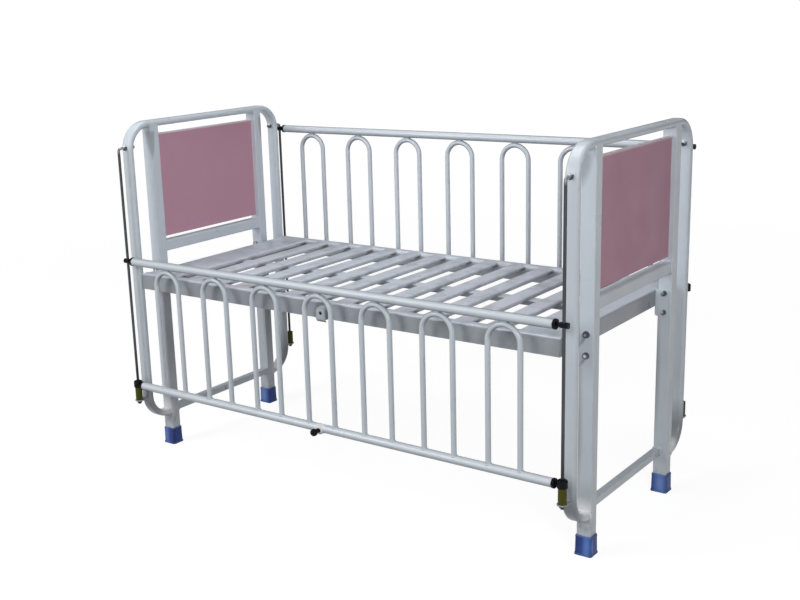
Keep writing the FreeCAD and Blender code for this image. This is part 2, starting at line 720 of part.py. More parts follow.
def make_rod_nuts():
    """Two nuts hold each rod's bent end to the hoop, and one sits under each tab."""
    flat_nut = pattern_for("flat_nut")
    block = sketch(flat_nut, "block", "XY_Plane")
    hexagon(block, "hex_wide")
    circle(block, "0", "0", "rod_dia")
    pad(flat_nut, block, "hexagon", "nut_tall", backwards=True)
    side_nut = pattern_for("side_nut")
    block = sketch(side_nut, "block", "XZ_Plane")
    hexagon(block, "hex_wide")
    circle(block, "0", "0", "rod_dia")
    pad(side_nut, block, "hexagon", "nut_tall")
    lower, upper = [], []
    for _, end_sign in ENDS:
        for _, side_sign in SIDES:
            along, turn = end_sign * worth("end_mid"), turn_of(side_sign)
            lower.append((along, side_sign * worth("rod_mid"), worth("tab_low"), turn))
            for face in ("inner_nut", "hoop_mid + hoop_thick / 2 + nut_tall"):
                upper.append((along, side_sign * worth(face), worth("rod_pin"), turn))
    group("rod_bottom_nuts", flat_nut.Shape, lower)
    group("rod_top_nuts", side_nut.Shape, upper)


def make_tabs():
    """Welded tabs that carry the rods' feet, trimmed to the hoop's lower bend."""
    tab = pattern_for("tab")
    outline = sketch(tab, "outline", "XY_Plane", "tab_low")
    half = "tab_wide / 2"
    chain(outline, (f"-{half}", "hoop_mid"), [
        (half, "hoop_mid"),
        (half, "rod_mid"),
        (f"-{half}", "rod_mid", "tab_wide / 2", True),
        (f"-{half}", "hoop_mid"),
    ])
    circle(outline, "0", "rod_mid", "rod_dia + rod_play")
    pad(tab, outline, "plate", "tab_thick")
    bend = sketch(tab, "bend", "YZ_Plane")
    circle(bend, "hoop_mid - low_bend", "hoop_low + low_bend", "2 * low_bend + hoop_thick")
    pocket(tab, bend, "trim", "2 * tab_wide", both_ways=True)
    places = []
    for _, end_sign in ENDS:
        for _, side_sign in SIDES:
            places.append((end_sign * worth("end_mid"), 0, 0, turn_of(side_sign)))
    group("rod_tabs", tab.Shape, places)


def make_bumper(end, end_sign, side, side_sign):
    """A rubber sleeve on the rod's foot, which the lowered rail lands on."""
    bumper = body(f"{end}_bumper_{side}", x=f"{end_sign} * end_mid", y=f"{side_sign} * rod_mid",
                  z="tab_low + tab_thick")
    bore, skin = "rod_dia / 2", "bumper_dia / 2"
    turned(bumper, "sleeve", (bore, "0"), [
        (skin, "0"),
        (skin, "bumper_tall - bumper_edge"),
        (f"{skin} - bumper_edge", "bumper_tall", "bumper_edge", True),
        (bore, "bumper_tall"),
        (bore, "0"),
    ])


# ---------------------------------------------------------------- drop rails


def make_tube(label, side, sign, height, latch_holes):
    """A round tube along X; the bottom one is drilled across for the latch pin."""
    tube = body(label, y=f"{sign} * rod_mid", z=height, turn=turn_of(sign))
    section = sketch(tube, "section", "YZ_Plane")
    circle(section, "0", "0", "tube_dia")
    circle(section, "0", "0", "tube_dia - 2 * tube_wall")
    pad(tube, section, "tube", "tube_long", both_ways=True)
    if latch_holes:
        hole = sketch(tube, "latch_hole", "XZ_Plane")
        circle(hole, "0", "-latch_sag", "pin_dia + 2 * pin_play")
        pocket(tube, hole, "latch_holes", "2 * tube_dia", both_ways=True)


def make_bars(side, sign, raised):
    """Seven bent bars, each an upside-down U, from the bottom tube up to the top tube."""
    bars = body(f"{side}_rail_bars", y=f"{sign} * rod_mid", z=f"tube_low + {raised}")
    pitch = f"{side}_pitch"
    first = f"({side}_shift - {pitch} * (bar_count - 1) / 2)"
    crown = "tube_gap - tube_dia / 2 - bar_dia / 2 - bar_width / 2"
    section = sketch(bars, "section", "XY_Plane")
    circle(section, f"{first} + bar_width / 2", "0", "bar_dia")
    circle(section, f"{first} + bar_width / 2", "0", "bar_dia - 2 * bar_wall")
    route = sketch(bars, "route", "XZ_Plane")
    chain(route, (f"{first} + bar_width / 2", "0"), [
        (f"{first} + bar_width / 2", crown),
        (first, f"{crown} + bar_width / 2", "bar_width / 2", True),
        (f"{first} - bar_width / 2", crown, "bar_width / 2", True),
        (f"{first} - bar_width / 2", "0"),
    ])
    doc.recompute()
    loop = sweep(bars, section, route, "loop")
    pattern(bars, loop, "row", "X_Axis", "bar_count", pitch)
    saddle = sketch(bars, "saddle", "YZ_Plane")
    circle(saddle, "0", "0", "tube_dia")
    pocket(bars, saddle, "saddles", "tube_long", both_ways=True)


def plug_and_flange(owner):
    """What every guide has: a plug pushed into the tube, a soft-edged flange and an arm to the rod."""
    tube_end = "(tube_long / 2 - end_mid)"
    flange = sketch(owner, "flange", "YZ_Plane", tube_end)
    circle(flange, "0", "0", "plug_dia")
    disc = pad(owner, flange, "flange_disc", "plug_thick")
    softened = owner.newObject("PartDesign::Fillet", f"{owner.Label}_flange_edges")
    ends = [f"Face{i + 1}" for i, face in enumerate(disc.Shape.Faces) if len(face.Edges) == 1]
    softened.Base = (disc, ends)
    bind(softened, "Radius", "plug_round")
    doc.recompute()
    stem = sketch(owner, "stem", "YZ_Plane", f"{tube_end} + plug_thick / 2")
    circle(stem, "0", "0", "tube_dia - 2 * tube_wall")
    pad(owner, stem, "stem_rod", "plug_deep + plug_thick / 2", backwards=True)
    arm = sketch(owner, "arm", "YZ_Plane")
    circle(arm, "0", "0", "arm_dia")
    pad(owner, arm, "arm_rod", f"-{tube_end} - plug_thick / 2", backwards=True)


def make_guides():
    """Plugs in the tubes' ends, drawn round the rod's axis: an eye on top, a collar on the bottom."""
    top = pattern_for("top_guide")
    plug_and_flange(top)
    block = sketch(top, "block", "YZ_Plane", "-eye_back")
    circle(block, "0", "0", "eye_dia")
    pad(top, block, "eye_block", "eye_back + eye_reach")
    eye = sketch(top, "eye", "XY_Plane")
    circle(eye, "0", "0", "rod_dia + 2 * rod_play")
    pocket(top, eye, "eye_hole", "2 * eye_dia", both_ways=True)
    bottom = pattern_for("bottom_guide")
    plug_and_flange(bottom)
    bore, skin = "(rod_dia / 2 + rod_play)", "(collar_dia / 2)"
    foot = "(bumper_tall + tab_low + tab_thick + rest_gap - tube_low)"
    turned(bottom, "collar", (bore, foot), [
        (skin, foot),
        (skin, f"{foot} + collar_tall - collar_round"),
        (f"{skin} - collar_round", f"{foot} + collar_tall", "collar_round", True),
        (bore, f"{foot} + collar_tall"),
        (bore, foot),
    ])
    hole = sketch(bottom, "bore", "XY_Plane")
    circle(hole, "0", "0", f"2 * {bore}")
    pocket(bottom, hole, "bore_hole", "3 * collar_tall", both_ways=True)
    return top.Shape, bottom.Shape


def make_drop_rail(side, sign, raised, top_shape, bottom_shape):
    """Two tubes, the bars between them and a guide at each of their four ends."""
    low, high = f"tube_low + {raised}", f"tube_low + tube_gap + {raised}"
    make_tube(f"{side}_rail_bottom_tube", side, sign, low, True)
    make_tube(f"{side}_rail_top_tube", side, sign, high, False)
    make_bars(side, sign, raised)
    for label, shape, height in (("top_guides", top_shape, high), ("bottom_guides", bottom_shape, low)):
        places = []
        for _, end_sign in ENDS:
            along, across = end_sign * worth("end_mid"), sign * worth("rod_mid")
            places.append((along, across, worth(height), turn_of(end_sign)))
        group(f"{side}_rail_{label}", shape, places)


# ---------------------------------------------------------------- latches


def latch_body(label, side, sign, raised):
    """A latch piece lies along Y: its local Z points out of the cot."""
    made = body(label)
    lean = FreeCAD.Rotation(FreeCAD.Vector(1, 0, 0), -90)
    spin = FreeCAD.Rotation(FreeCAD.Vector(0, 0, 1), turn_of(sign))
    height = worth(f"tube_low + {raised} - latch_sag")
    place = FreeCAD.Vector(0, sign * worth("rod_mid"), height)
    made.Placement = FreeCAD.Placement(place, spin.multiply(lean))
    return made


def make_boss(side, sign, raised):
    """A ring welded over the tube's latch hole, round the foot of the knob's neck."""
    boss = latch_body(f"{side}_latch_boss", side, sign, raised)
    bore, neck, skin = "(pin_dia / 2 + pin_play)", "(neck_dia / 2 + knob_play)", "(boss_dia / 2)"
    turned(boss, "ring", (bore, "0"), [
        (skin, "0"),
        (skin, "boss_reach - boss_round"),
        (f"{skin} - boss_round", "boss_reach", "boss_round", True),
        (neck, "boss_reach"),
        (neck, "boss_seat"),
        (bore, "boss_seat"),
        (bore, "0"),
    ])
    saddle = sketch(boss, "saddle", "YZ_Plane")
    circle(saddle, "-latch_sag", "0", "tube_dia")
    pocket(boss, saddle, "saddle_cut", "2 * boss_dia", both_ways=True)


def make_pin(side, sign, raised):
    pin = latch_body(f"{side}_latch_pin", side, sign, raised)
    radius, stop = "(pin_dia / 2)", "(stop_dia / 2)"
    turned(pin, "pin", ("0", "-pin_tip"), [
        (f"{radius} - pin_edge", "-pin_tip"),
        (radius, "-pin_tip + pin_edge"),
        (radius, "-stop_mid - stop_thick / 2"),
        (stop, "-stop_mid - stop_thick / 2"),
        (stop, "-stop_mid + stop_thick / 2"),
        (radius, "-stop_mid + stop_thick / 2"),
        (radius, "knob_mid"),
        ("0", "knob_mid"),
        ("0", "-pin_tip"),
    ])


def make_spring(side, sign, raised):
    """A spring inside the tube, between the pin's stop ring and the tube's outer wall."""
    spring = latch_body(f"{side}_latch_spring", side, sign, raised)
    inner, outer = "(coil_mid - wire_side) / 2", "(coil_mid + wire_side) / 2"
    section = sketch(spring, "wire", "XZ_Plane")
    chain(section, (inner, "coil_low"), [
        (outer, "coil_low"),
        (outer, "coil_low + wire_side"),
        (inner, "coil_low + wire_side"),
        (inner, "coil_low"),
    ])
    doc.recompute()
    coil = spring.newObject("PartDesign::AdditiveHelix", f"{side}_latch_spring_coil")
    coil.Profile = section
    coil.Mode = "height-turns-angle"
    axis = [item for item in spring.Origin.OriginFeatures if item.Role == "Z_Axis"][0]
    coil.ReferenceAxis = (axis, [""])
    bind(coil, "Height", "coil_high - coil_low - wire_side")
    bind(coil, "Turns", "coil_turns")
    spring.Tip = coil
    doc.recompute()


def make_knob(side, sign, raised):
    knob = latch_body(f"{side}_latch_knob", side, sign, raised)
    ball, neck, bore = "(knob_dia / 2)", "(neck_dia / 2)", "(pin_dia / 2)"
    base, shoulder = "boss_seat + knob_play", "sqrt(knob_dia ^ 2 - neck_dia ^ 2) / 2"
    turned(knob, "ball", (bore, base), [
        (neck, base),
        (neck, f"knob_mid - {shoulder}"),
        (ball, "knob_mid", ball, True),
        ("0", "knob_mid + knob_dia / 2", ball, True),
        ("0", "knob_mid"),
        (bore, "knob_mid"),
        (bore, base),
    ])


def make_catch(side, sign):
    """A pressed catch on the deck rail: a tongue with a round top that stands out on its own
    cheeks, the hole that the latch pin snaps into, and a lip bent in to lead the pin up."""
    plate = body(f"{side}_catch_plate", turn=turn_of(sign))
    half, crown = "(plate_wide / 2)", "(plate_high - plate_wide / 2)"
    inner = f"({half} - plate_thick)"
    cheeks = sketch(plate, "cheeks", "XZ_Plane", "-deck_wide / 2")
    chain(cheeks, (half, "plate_bend"), [
        (half, crown),
        (f"-{half}", crown, half, True),
        (f"-{half}", "plate_bend"),
        (f"-{inner}", "plate_bend"),
        (f"-{inner}", crown),
        (inner, crown, inner, False),
        (inner, "plate_bend"),
        (half, "plate_bend"),
    ])
    pad(plate, cheeks, "cheek_wall", "plate_out", backwards=True)
    face = sketch(plate, "face", "XZ_Plane", "-(deck_wide / 2 + plate_out - plate_thick)")
    chain(face, (half, "plate_bend"), [
        (half, crown),
        (f"-{half}", crown, half, True),
        (f"-{half}", "plate_bend"),
        (half, "plate_bend"),
    ])
    circle(face, "0", "tube_low + drop - latch_sag", "catch_dia")
    pad(plate, face, "face_plate", "plate_thick", backwards=True)
    lip = sketch(plate, "lip", "YZ_Plane")
    front = "(deck_wide / 2 + plate_out)"
    chain(lip, (front, "plate_bend"), [
        (f"{front} - plate_thick", "plate_bend"),
        (f"{front} - plate_thick - lip_turn", "plate_lip"),
        (f"{front} - lip_turn", "plate_lip"),
        (front, "plate_bend"),
    ])
    pad(plate, lip, "bent_lip", "plate_wide", both_ways=True)


# ---------------------------------------------------------------- assembly


for end_name, end_side in ENDS:
    make_hoop(end_name, end_side)
    make_cross_member(f"{end_name}_cross_rail", f"{end_side} * end_mid", "cross_low", "cross_tall",
                      "cross_deep", "cross_round")
    inner_side = f"{end_side} * (end_mid - (leg_wide - stretcher_deep) / 2)"
    stretcher = make_cross_member(f"{end_name}_stretcher", inner_side, "stretcher_low", "stretcher_tall",
                                  "stretcher_deep", "stretcher_round")
    drain = sketch(stretcher, "drain", "YZ_Plane")
    circle(drain, "0", "stretcher_tall / 2", "drain_dia")
    pocket(stretcher, drain, "drain_hole", "stretcher_deep", backwards=end_side < 0)
    make_panel(end_name, end_side)
    make_deck_end(end_name, end_side)
    for side_name, side_side in SIDES:
        make_leg(end_name, end_side, side_name, side_side)
        make_boot(end_name, end_side, side_name, side_side)
        make_rod(end_name, end_side, side_name, side_side)
        make_bumper(end_name, end_side, side_name, side_side)

make_dowels()
for side_name, side_side in SIDES:
    make_deck_side(side_name, side_side)
    make_catch(side_name, side_side)
make_slats()
make_beam()
make_lugs()
make_frame_fasteners()
make_rod_nuts()
make_tabs()

top_guide, bottom_guide = make_guides()
for side_name, side_side, lift in (("front", -1, "0"), ("rear", 1, "drop")):
    make_drop_rail(side_name, side_side, lift, top_guide, bottom_guide)
    for make in (make_boss, make_pin, make_spring, make_knob):
        make(side_name, side_side, lift)

doc.recompute()
for item in doc.Objects:
    if "Invalid" in item.State or "Error" in item.State:
        raise RuntimeError(f"{item.Label} failed: {item.State}")
os.makedirs("parts", exist_ok=True)
for piece in PIECES:
    if piece.Shape.isNull() or not piece.Shape.isValid():
        raise RuntimeError(f"{piece.Label} has no valid shape")
    piece.Shape.exportStep(f"parts/{piece.Label}.step")
    print(f"{piece.Label}: {len(piece.Shape.Solids)} solids, {piece.Shape.Volume / 1000:.1f} cm3")
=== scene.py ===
import json
import math

import bmesh
import bpy
from mathutils import Matrix, Vector


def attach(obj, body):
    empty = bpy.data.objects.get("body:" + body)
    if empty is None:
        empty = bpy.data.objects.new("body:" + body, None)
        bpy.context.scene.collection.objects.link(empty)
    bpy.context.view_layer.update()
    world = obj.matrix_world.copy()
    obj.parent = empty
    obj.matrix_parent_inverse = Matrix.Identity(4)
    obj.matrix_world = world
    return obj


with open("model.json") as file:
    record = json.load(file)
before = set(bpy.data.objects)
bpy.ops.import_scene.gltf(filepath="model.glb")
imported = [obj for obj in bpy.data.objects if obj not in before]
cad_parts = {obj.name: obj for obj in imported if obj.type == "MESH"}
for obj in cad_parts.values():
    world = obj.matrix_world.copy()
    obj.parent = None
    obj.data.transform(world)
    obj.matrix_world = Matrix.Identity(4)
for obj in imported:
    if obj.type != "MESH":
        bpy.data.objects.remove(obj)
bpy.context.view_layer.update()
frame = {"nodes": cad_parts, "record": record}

bl_info = {
    "name": "Child's Hospital Cot",
    "version": (1, 0, 0),
    "blender": (4, 5, 0),
    "location": "View3D > Sidebar > Cot",
    "description": "Finishes for a steel hospital cot with panelled ends and drop rails",
    "category": "Object",
}

NODES = frame["nodes"]
SLOT_OF = {part["node"]: part["material_slot"] for part in frame["record"]["subparts"]}
DECK_FRAME = ("deck_rail_front", "deck_rail_rear", "deck_rail_head", "deck_rail_foot",
              "front_catch_plate", "rear_catch_plate")
DECK_BED = ("deck_slats", "deck_centre_beam")
SHARP_NODES = ("frame_bolts", "frame_nuts", "rod_top_nuts", "rod_bottom_nuts", "frame_washers",
               "deck_lugs", "rod_tabs")

# Signs of the four corners, along and across the cot, and of the two drop rails
CORNERS = ((-1, -1), (-1, 1), (1, -1), (1, 1))
RAILS = (("front", -1), ("rear", 1))

# Sizes and places in metres; a place at the foot or the rear serves the other three corners too
END_X = 0.7
LEG_Y, LEG_FACE, LEG_INNER, LEG_HALF = 0.224, 0.2395, 0.2085, 0.0185
HOOP_LOW, HOOP_HIGH = 0.105, 0.9825
OVAL_FLAT, OVAL_ROUND = 0.00875, 0.0095
PANEL_TOP, PANEL_SIDE = 0.9515, 0.208
BOLT_HEIGHTS = (0.549, 0.4985)
ROD_Y, ROD_RADIUS, ROD_BEND = 0.35, 0.004, 0.922
TUBE_RADIUS, BAR_RADIUS = 0.0115, 0.007
BAR_COUNT, BAR_HALF, BAR_RISE = 7, 0.043, 0.3154
RAIL_LOW = {"front": 0.2205, "rear": 0.5315}
BAR_PITCH = {"front": 0.182, "rear": 0.1865}
BAR_SHIFT = {"front": 0.0025, "rear": -0.004}
SLAT_COUNT, SLAT_PITCH = 14, 0.0896


# ------------------------------------------------------------------ settings


def colour_setting(name, description, default):
    return bpy.props.FloatVectorProperty(
        name=name, description=description, subtype="COLOR", size=3, default=default, min=0, max=1)


def length_setting(name, description, default, low, high):
    return bpy.props.FloatProperty(
        name=name, description=description, unit="LENGTH", default=default, min=low, max=high)


class CotColours(bpy.types.PropertyGroup):
    coat: colour_setting("Powder coat", "Steel frame, deck and rails", (0.61, 0.668, 0.73))
    deck: colour_setting("Deck coat", "Older, greyer coat of the slatted deck", (0.65, 0.7, 0.785))
    panel: colour_setting("Panels", "Boards in the two ends", (0.545, 0.302, 0.388))
    boot: colour_setting("Boots", "Rubber boots on the legs", (0.036, 0.07, 0.26))
    sleeve: colour_setting("Sleeves", "Rubber sleeves at the foot of the rods", (0.06, 0.06, 0.001))
    plastic: colour_setting("Black plastic", "Tube plugs, collars and knobs", (0.003, 0.003, 0.006))
    rod: colour_setting("Rods", "Dark steel guide rods", (0.065, 0.07, 0.078))
    zinc: colour_setting("Zinc", "Bolts, nuts, washers, latch pins and springs", (0.13, 0.14, 0.16))


class CotDetails(bpy.types.PropertyGroup):
    bead: length_setting("Weld bead", "Radius of a weld on the ends", 0.0022, 0.0005, 0.006)
    fine_bead: length_setting(
        "Fine weld bead", "Radius of a weld on the deck and the drop rails", 0.0017, 0.0005, 0.006)
    ripple: length_setting(
        "Weld ripple", "Distance from one ripple of a weld to the next", 0.0032, 0.001, 0.01)
    thread: length_setting(
        "Thread pitch", "Distance from one turn of a screw thread to the next",
        0.00125, 0.0005, 0.003)
    cap: length_setting(
        "Rail cap", "Thickness of the plates on the deck rails' ends", 0.0022, 0.001, 0.004)
    sheet: length_setting(
        "End sheet", "Thickness of the sheets that close the deck's first and last gaps",
        0.0015, 0.0008, 0.003)
    lip: length_setting(
        "Boot lip", "Radius of the raised lines round the boots", 0.0008, 0.0003, 0.002)
    edge: length_setting(
        "Edge", "Rounding of the edges of bolts, nuts and plates", 0.0006, 0.0001, 0.002)


class CotStage(bpy.types.PropertyGroup):
    eye: bpy.props.FloatVectorProperty(
        name="Eye point", description="Place of the camera", subtype="XYZ", unit="LENGTH", size=3,
        default=(1.8453, -2.5931, 1.2955))
    turn: bpy.props.FloatProperty(
        name="Turn", description="How far round the cot the camera stands", subtype="ANGLE",
        default=math.radians(37.749))
    tilt: bpy.props.FloatProperty(
        name="Tilt", description="How far the camera looks down", subtype="ANGLE",
        default=math.radians(14.384))
    roll: bpy.props.FloatProperty(
        name="Roll", description="How far the camera leans", subtype="ANGLE",
        default=math.radians(2.094))
    lens: bpy.props.FloatProperty(
        name="Lens", description="Focal length on a 36 mm sensor", default=52.731, min=10, max=300)
    shift: bpy.props.FloatVectorProperty(
        name="Shift", description="Shift of the lens, in image widths", size=2,
        default=(0.0625, 0.0064))
    floor: colour_setting("Floor", "Floor colour", (0.2, 0.2, 0.2))
    glow: bpy.props.FloatProperty(
        name="Floor glow", description="How far the floor is brightened to white where it is seen",
        default=0.88, min=0, max=1)
    sky: bpy.props.FloatProperty(
        name="Ambient light", description="Strength of the soft light from overhead",
        default=0.3, min=0, max=3)


# ------------------------------------------------------------------ materials


# Stretches that let only the distance along one axis count
Y_ONLY, Z_ONLY = (0, 1, 0), (0, 0, 1)

WHITE = (1.0, 1.0, 1.0)
DUST = (0.42, 0.43, 0.42)
# Painted highlight on the lowered bottom tube
LIT_TUBE_HIGHLIGHT = (0.85, 0.9, 0.97)
# Grime at the hoops' ends, and painted shade under them
HOOP_GRIME, HOOP_SHADE = (0.2, 0.19, 0.17), (0.2, 0.18, 0.17)
# Grime at the boots' tops, and the painted shadow cast by each bolt
BOOT_GRIME, BOLT_SHADOW = (0.2, 0.22, 0.19), (0.22, 0.22, 0.21)
# Random dull patches on the deck, and rubbed marks with painted sheen on its tops
DULL_DECK, RUBBED_AND_SHEEN_DECK = (0.34, 0.39, 0.385), (0.72, 0.76, 0.84)
# Painted shade in the catch's hole and under its lip
HOLE_SHADE, LIP_SHADE = (0.008, 0.008, 0.01), (0.05, 0.038, 0.03)
# Painted highlight on the panels' edges
PANEL_EDGE_HIGHLIGHT = (0.85, 0.77, 0.8)

# How much of the deck's colour its upright sides keep, as painted shade on the deck's rails and,
# less, on its slats and beam
FRAME_SIDES, SLAT_SIDES = 0.46, 0.78


class Finish:
    """A material under construction: a Principled shader fed by procedural textures."""

    def __init__(self, name, colour, roughness, metallic=0.0):
        self.material = bpy.data.materials.new(name)
        self.material.use_nodes = True
        self.tree = self.material.node_tree
        self.shader = self.tree.nodes["Principled BSDF"]
        self.colour = tuple(colour) + (1,)
        self.shader.inputs["Base Color"].default_value = self.colour
        self.shader.inputs["Roughness"].default_value = roughness
        self.shader.inputs["Metallic"].default_value = metallic
        self.place = self.add("ShaderNodeTexCoord")
        self.relief = None

    def add(self, kind, **settings):
        node = self.tree.nodes.new(kind)
        for key, value in settings.items():
            setattr(node, key, value)
        return node

    def wire(self, source, output, target, socket):
        self.tree.links.new(source.outputs[output], target.inputs[socket])

    def noise(self, scale, detail=3, roughness=0.5, stretch=(1, 1, 1)):
        """Noise over the object's own coordinates; a stretch below 1 draws it out on that axis."""
        mapping = self.add("ShaderNodeMapping")
        mapping.inputs["Scale"].default_value = stretch
        self.wire(self.place, "Object", mapping, "Vector")
        texture = self.add("ShaderNodeTexNoise")
        texture.inputs["Scale"].default_value = scale
        texture.inputs["Detail"].default_value = detail
        texture.inputs["Roughness"].default_value = roughness
        self.wire(mapping, "Vector", texture, "Vector")
        return texture

    def ramp(self, source, output, low, high, low_value, high_value):
        spread = self.add("ShaderNodeMapRange")
        spread.inputs["From Min"].default_value = low
        spread.inputs["From Max"].default_value = high
        spread.inputs["To Min"].default_value = low_value
        spread.inputs["To Max"].default_value = high_value
        self.wire(source, output, spread, "Value")
        return spread

    def grain(self, texture, low, high):
        """White where a noise is over high, black where it is under low."""
        return self.ramp(texture, "Fac", low, high, 0, 1)

    def facing(self, low, high):
        """White where a surface's upward slope reaches high, black where it is at low."""
        split = self.add("ShaderNodeSeparateXYZ")
        self.wire(self.place, "Normal", split, "Vector")
        return self.ramp(split, "Z", min(low, high), max(low, high), int(low > high),
                         int(high > low))

    def facing_up(self):
        """White where a surface faces up, black where it is upright or faces down."""
        return self.facing(0.35, 0.9)

    def near(self, spot, reach, stretch=(1, 1, 1), lean=0):
        """White at a spot on each of the four corners of the cot, fading out at the reach.

        A stretch below 1 lengthens it along that axis, 0 leaves that axis out, and lean turns
        it about Y first.
        """
        mirrored = self.add("ShaderNodeVectorMath", operation="ABSOLUTE")
        self.wire(self.place, "Object", mirrored, "Vector")
        away = self.add("ShaderNodeVectorMath", operation="SUBTRACT")
        self.wire(mirrored, "Vector", away, 0)
        away.inputs[1].default_value = spot
        leaned = self.add("ShaderNodeVectorRotate", rotation_type="Y_AXIS")
        self.wire(away, "Vector", leaned, "Vector")
        leaned.inputs["Angle"].default_value = lean
        pulled = self.add("ShaderNodeVectorMath", operation="MULTIPLY")
        self.wire(leaned, "Vector", pulled, 0)
        pulled.inputs[1].default_value = stretch
        distance = self.add("ShaderNodeVectorMath", operation="LENGTH")
        self.wire(pulled, "Vector", distance, "Vector")
        return self.ramp(distance, "Value", 0, reach, 1, 0)

    def steeper(self, mask, low, high):
        """A mask turned black where it is under low and white where it is over high."""
        return self.ramp(mask, "Result", low, high, 0, 1)

    def both(self, first, second):
        """White only where both masks are."""
        product = self.add("ShaderNodeMath", operation="MULTIPLY")
        self.wire(first, "Result", product, 0)
        self.wire(second, "Result", product, 1)
        return self.ramp(product, "Value", 0, 1, 0, 1)

    def tint(self, mask, other, strength=1.0):
        """Blends another colour over those before it wherever the mask is white."""
        mix = self.add("ShaderNodeMix", data_type="RGBA")
        before, after, result = mix.inputs[6], mix.inputs[7], mix.outputs[2]
        base = self.shader.inputs["Base Color"]
        if base.links:
            self.tree.links.new(base.links[0].from_socket, before)
        else:
            before.default_value = self.colour
        after.default_value = tuple(other) + (1,)
        self.wire(self.ramp(mask, "Result", 0, 1, 0, strength), "Result", mix, "Factor")
        self.tree.links.new(result, base)

    def rough(self, texture, low, high):
        """Roughness from low to high over the middle of a noise's range."""
        spread = self.ramp(texture, "Fac", 0.3, 0.7, low, high)
        self.wire(spread, "Result", self.shader, "Roughness")

    def bump(self, texture, strength, distance):
        """Raises the surface by a noise, on top of the bumps before it."""
        raised = self.add("ShaderNodeBump")
        raised.inputs["Strength"].default_value = strength
        raised.inputs["Distance"].default_value = distance
        self.wire(texture, "Fac", raised, "Height")
        if self.relief is not None:
            self.wire(self.relief, "Normal", raised, "Normal")
        self.relief = raised
        self.wire(raised, "Normal", self.shader, "Normal")


def scaled(colour, factor):
    return tuple(min(1.0, part * factor) for part in colour)


def coat_texture(finish, colour):
    """Orange peel, slow shifts of tone and dust, as on every baked powder coat."""
    clouds = finish.noise(5, detail=4, roughness=0.6)
    finish.tint(finish.grain(clouds, 0.45, 0.75), scaled(colour, 0.9), 0.6)
    dust = finish.noise(38, detail=6, roughness=0.7)
    finish.tint(finish.grain(dust, 0.6, 0.8), DUST, 0.25)
    scuffs = finish.noise(70, detail=8, roughness=0.75, stretch=(1, 1, 0.25))
    finish.tint(finish.grain(scuffs, 0.63, 0.72), scaled(colour, 0.75), 0.35)
    finish.rough(finish.noise(11, detail=5), 0.26, 0.42)
    finish.bump(finish.noise(520, detail=2), 0.16, 0.0004)
    finish.bump(finish.noise(45, detail=2), 0.08, 0.0009)
    finish.shader.inputs["Coat Weight"].default_value = 0.2
    finish.shader.inputs["Coat Roughness"].default_value = 0.12


def powder_coat(colours):
    """Baked powder coat with painted shade where the steel turns down or in, painted highlights and
    shadows, and grime where parts meet.
    """
    coat = colours.coat
    finish = Finish("powder_coat", coat, 0.36)
    coat_texture(finish, coat)

    # Painted shade on the hoops' lower bends, and a painted darkening of the coat towards the floor
    low_bend = finish.near((END_X, 0.325, 0.145), 0.095)
    finish.tint(low_bend, scaled(coat, 0.18))
    to_the_floor = finish.near((0, 0, 0), 0.75, Z_ONLY)
    finish.tint(to_the_floor, scaled(coat, 0.5), 0.22)

    # Painted light and shade on the drop rails' tubes: shade on their tops and undersides, a
    # highlight along the lowered bottom tube and a highlight round the front latch
    on_rails = finish.near((0, ROD_Y, 0), 0.02, Y_ONLY)
    finish.tint(finish.both(on_rails, finish.facing(0.55, 0.95)), scaled(coat, 0.5))
    low_tube = finish.near((0, ROD_Y, RAIL_LOW["front"]), 0.022, (0, 1, 1))
    finish.tint(finish.both(low_tube, finish.facing(-0.1, 0.3)), LIT_TUBE_HIGHLIGHT, 0.9)
    finish.tint(finish.both(on_rails, finish.facing(0.0, -0.7)), scaled(coat, 0.22))
    latch_highlight = finish.near((0, 0.366, 0.228), 0.018, (0.8, 0.5, 1))
    finish.tint(latch_highlight, WHITE, 0.8)

    # Painted shadow of each hoop's top bend on the outer face of its leg, and painted shade on the
    # legs' inner sides
    bend_shade = finish.near((0.668, LEG_FACE, 0.962), 0.05, (1.1, 3, 0.55))
    below_hoop = finish.near((0, 0, 0.88), 0.09, Z_ONLY)
    wedge = finish.both(finish.steeper(bend_shade, 0.02, 0.3),
                        finish.steeper(below_hoop, 0.06, 0.16))
    finish.tint(wedge, scaled(coat, 0.5), 0.7)
    inner_legs = finish.near((0.677, LEG_Y, 0.33), 0.02, (1, 0.3, 0.09))
    finish.tint(inner_legs, scaled(coat, 0.35))

    patchy = finish.grain(finish.noise(90, detail=5, roughness=0.7), 0.35, 0.65)
    at_hoop = finish.near((END_X, 0.24, 0.078), 0.028, (0.7, 1, 1.2))
    finish.tint(finish.both(at_hoop, patchy), HOOP_GRIME, 0.9)
    # Painted highlight on the lower end of each hoop, and painted shade just under it
    lit_hoop_end = finish.near((END_X, 0.256, 0.118), 0.036, (0.6, 1, 1))
    finish.tint(lit_hoop_end, WHITE)
    under_hoop = finish.near((END_X, 0.243, 0.0925), 0.010, (0.5, 1, 1))
    finish.tint(under_hoop, HOOP_SHADE, 0.7)
    at_boot = finish.near((END_X, 0.23, 0.05), 0.014, (0.05, 0.05, 1))
    finish.tint(finish.both(at_boot, patchy), BOOT_GRIME, 0.6)
    # Painted shadow cast by each bolt's head down its leg
    for bolt in BOLT_HEIGHTS:
        bolt_shadow_mask = finish.near((0.692, 0.24, bolt - 0.014), 0.0062, (1, 1, 0.3), math.radians(-32))
        finish.tint(bolt_shadow_mask, BOLT_SHADOW, 0.85)
    return finish.material


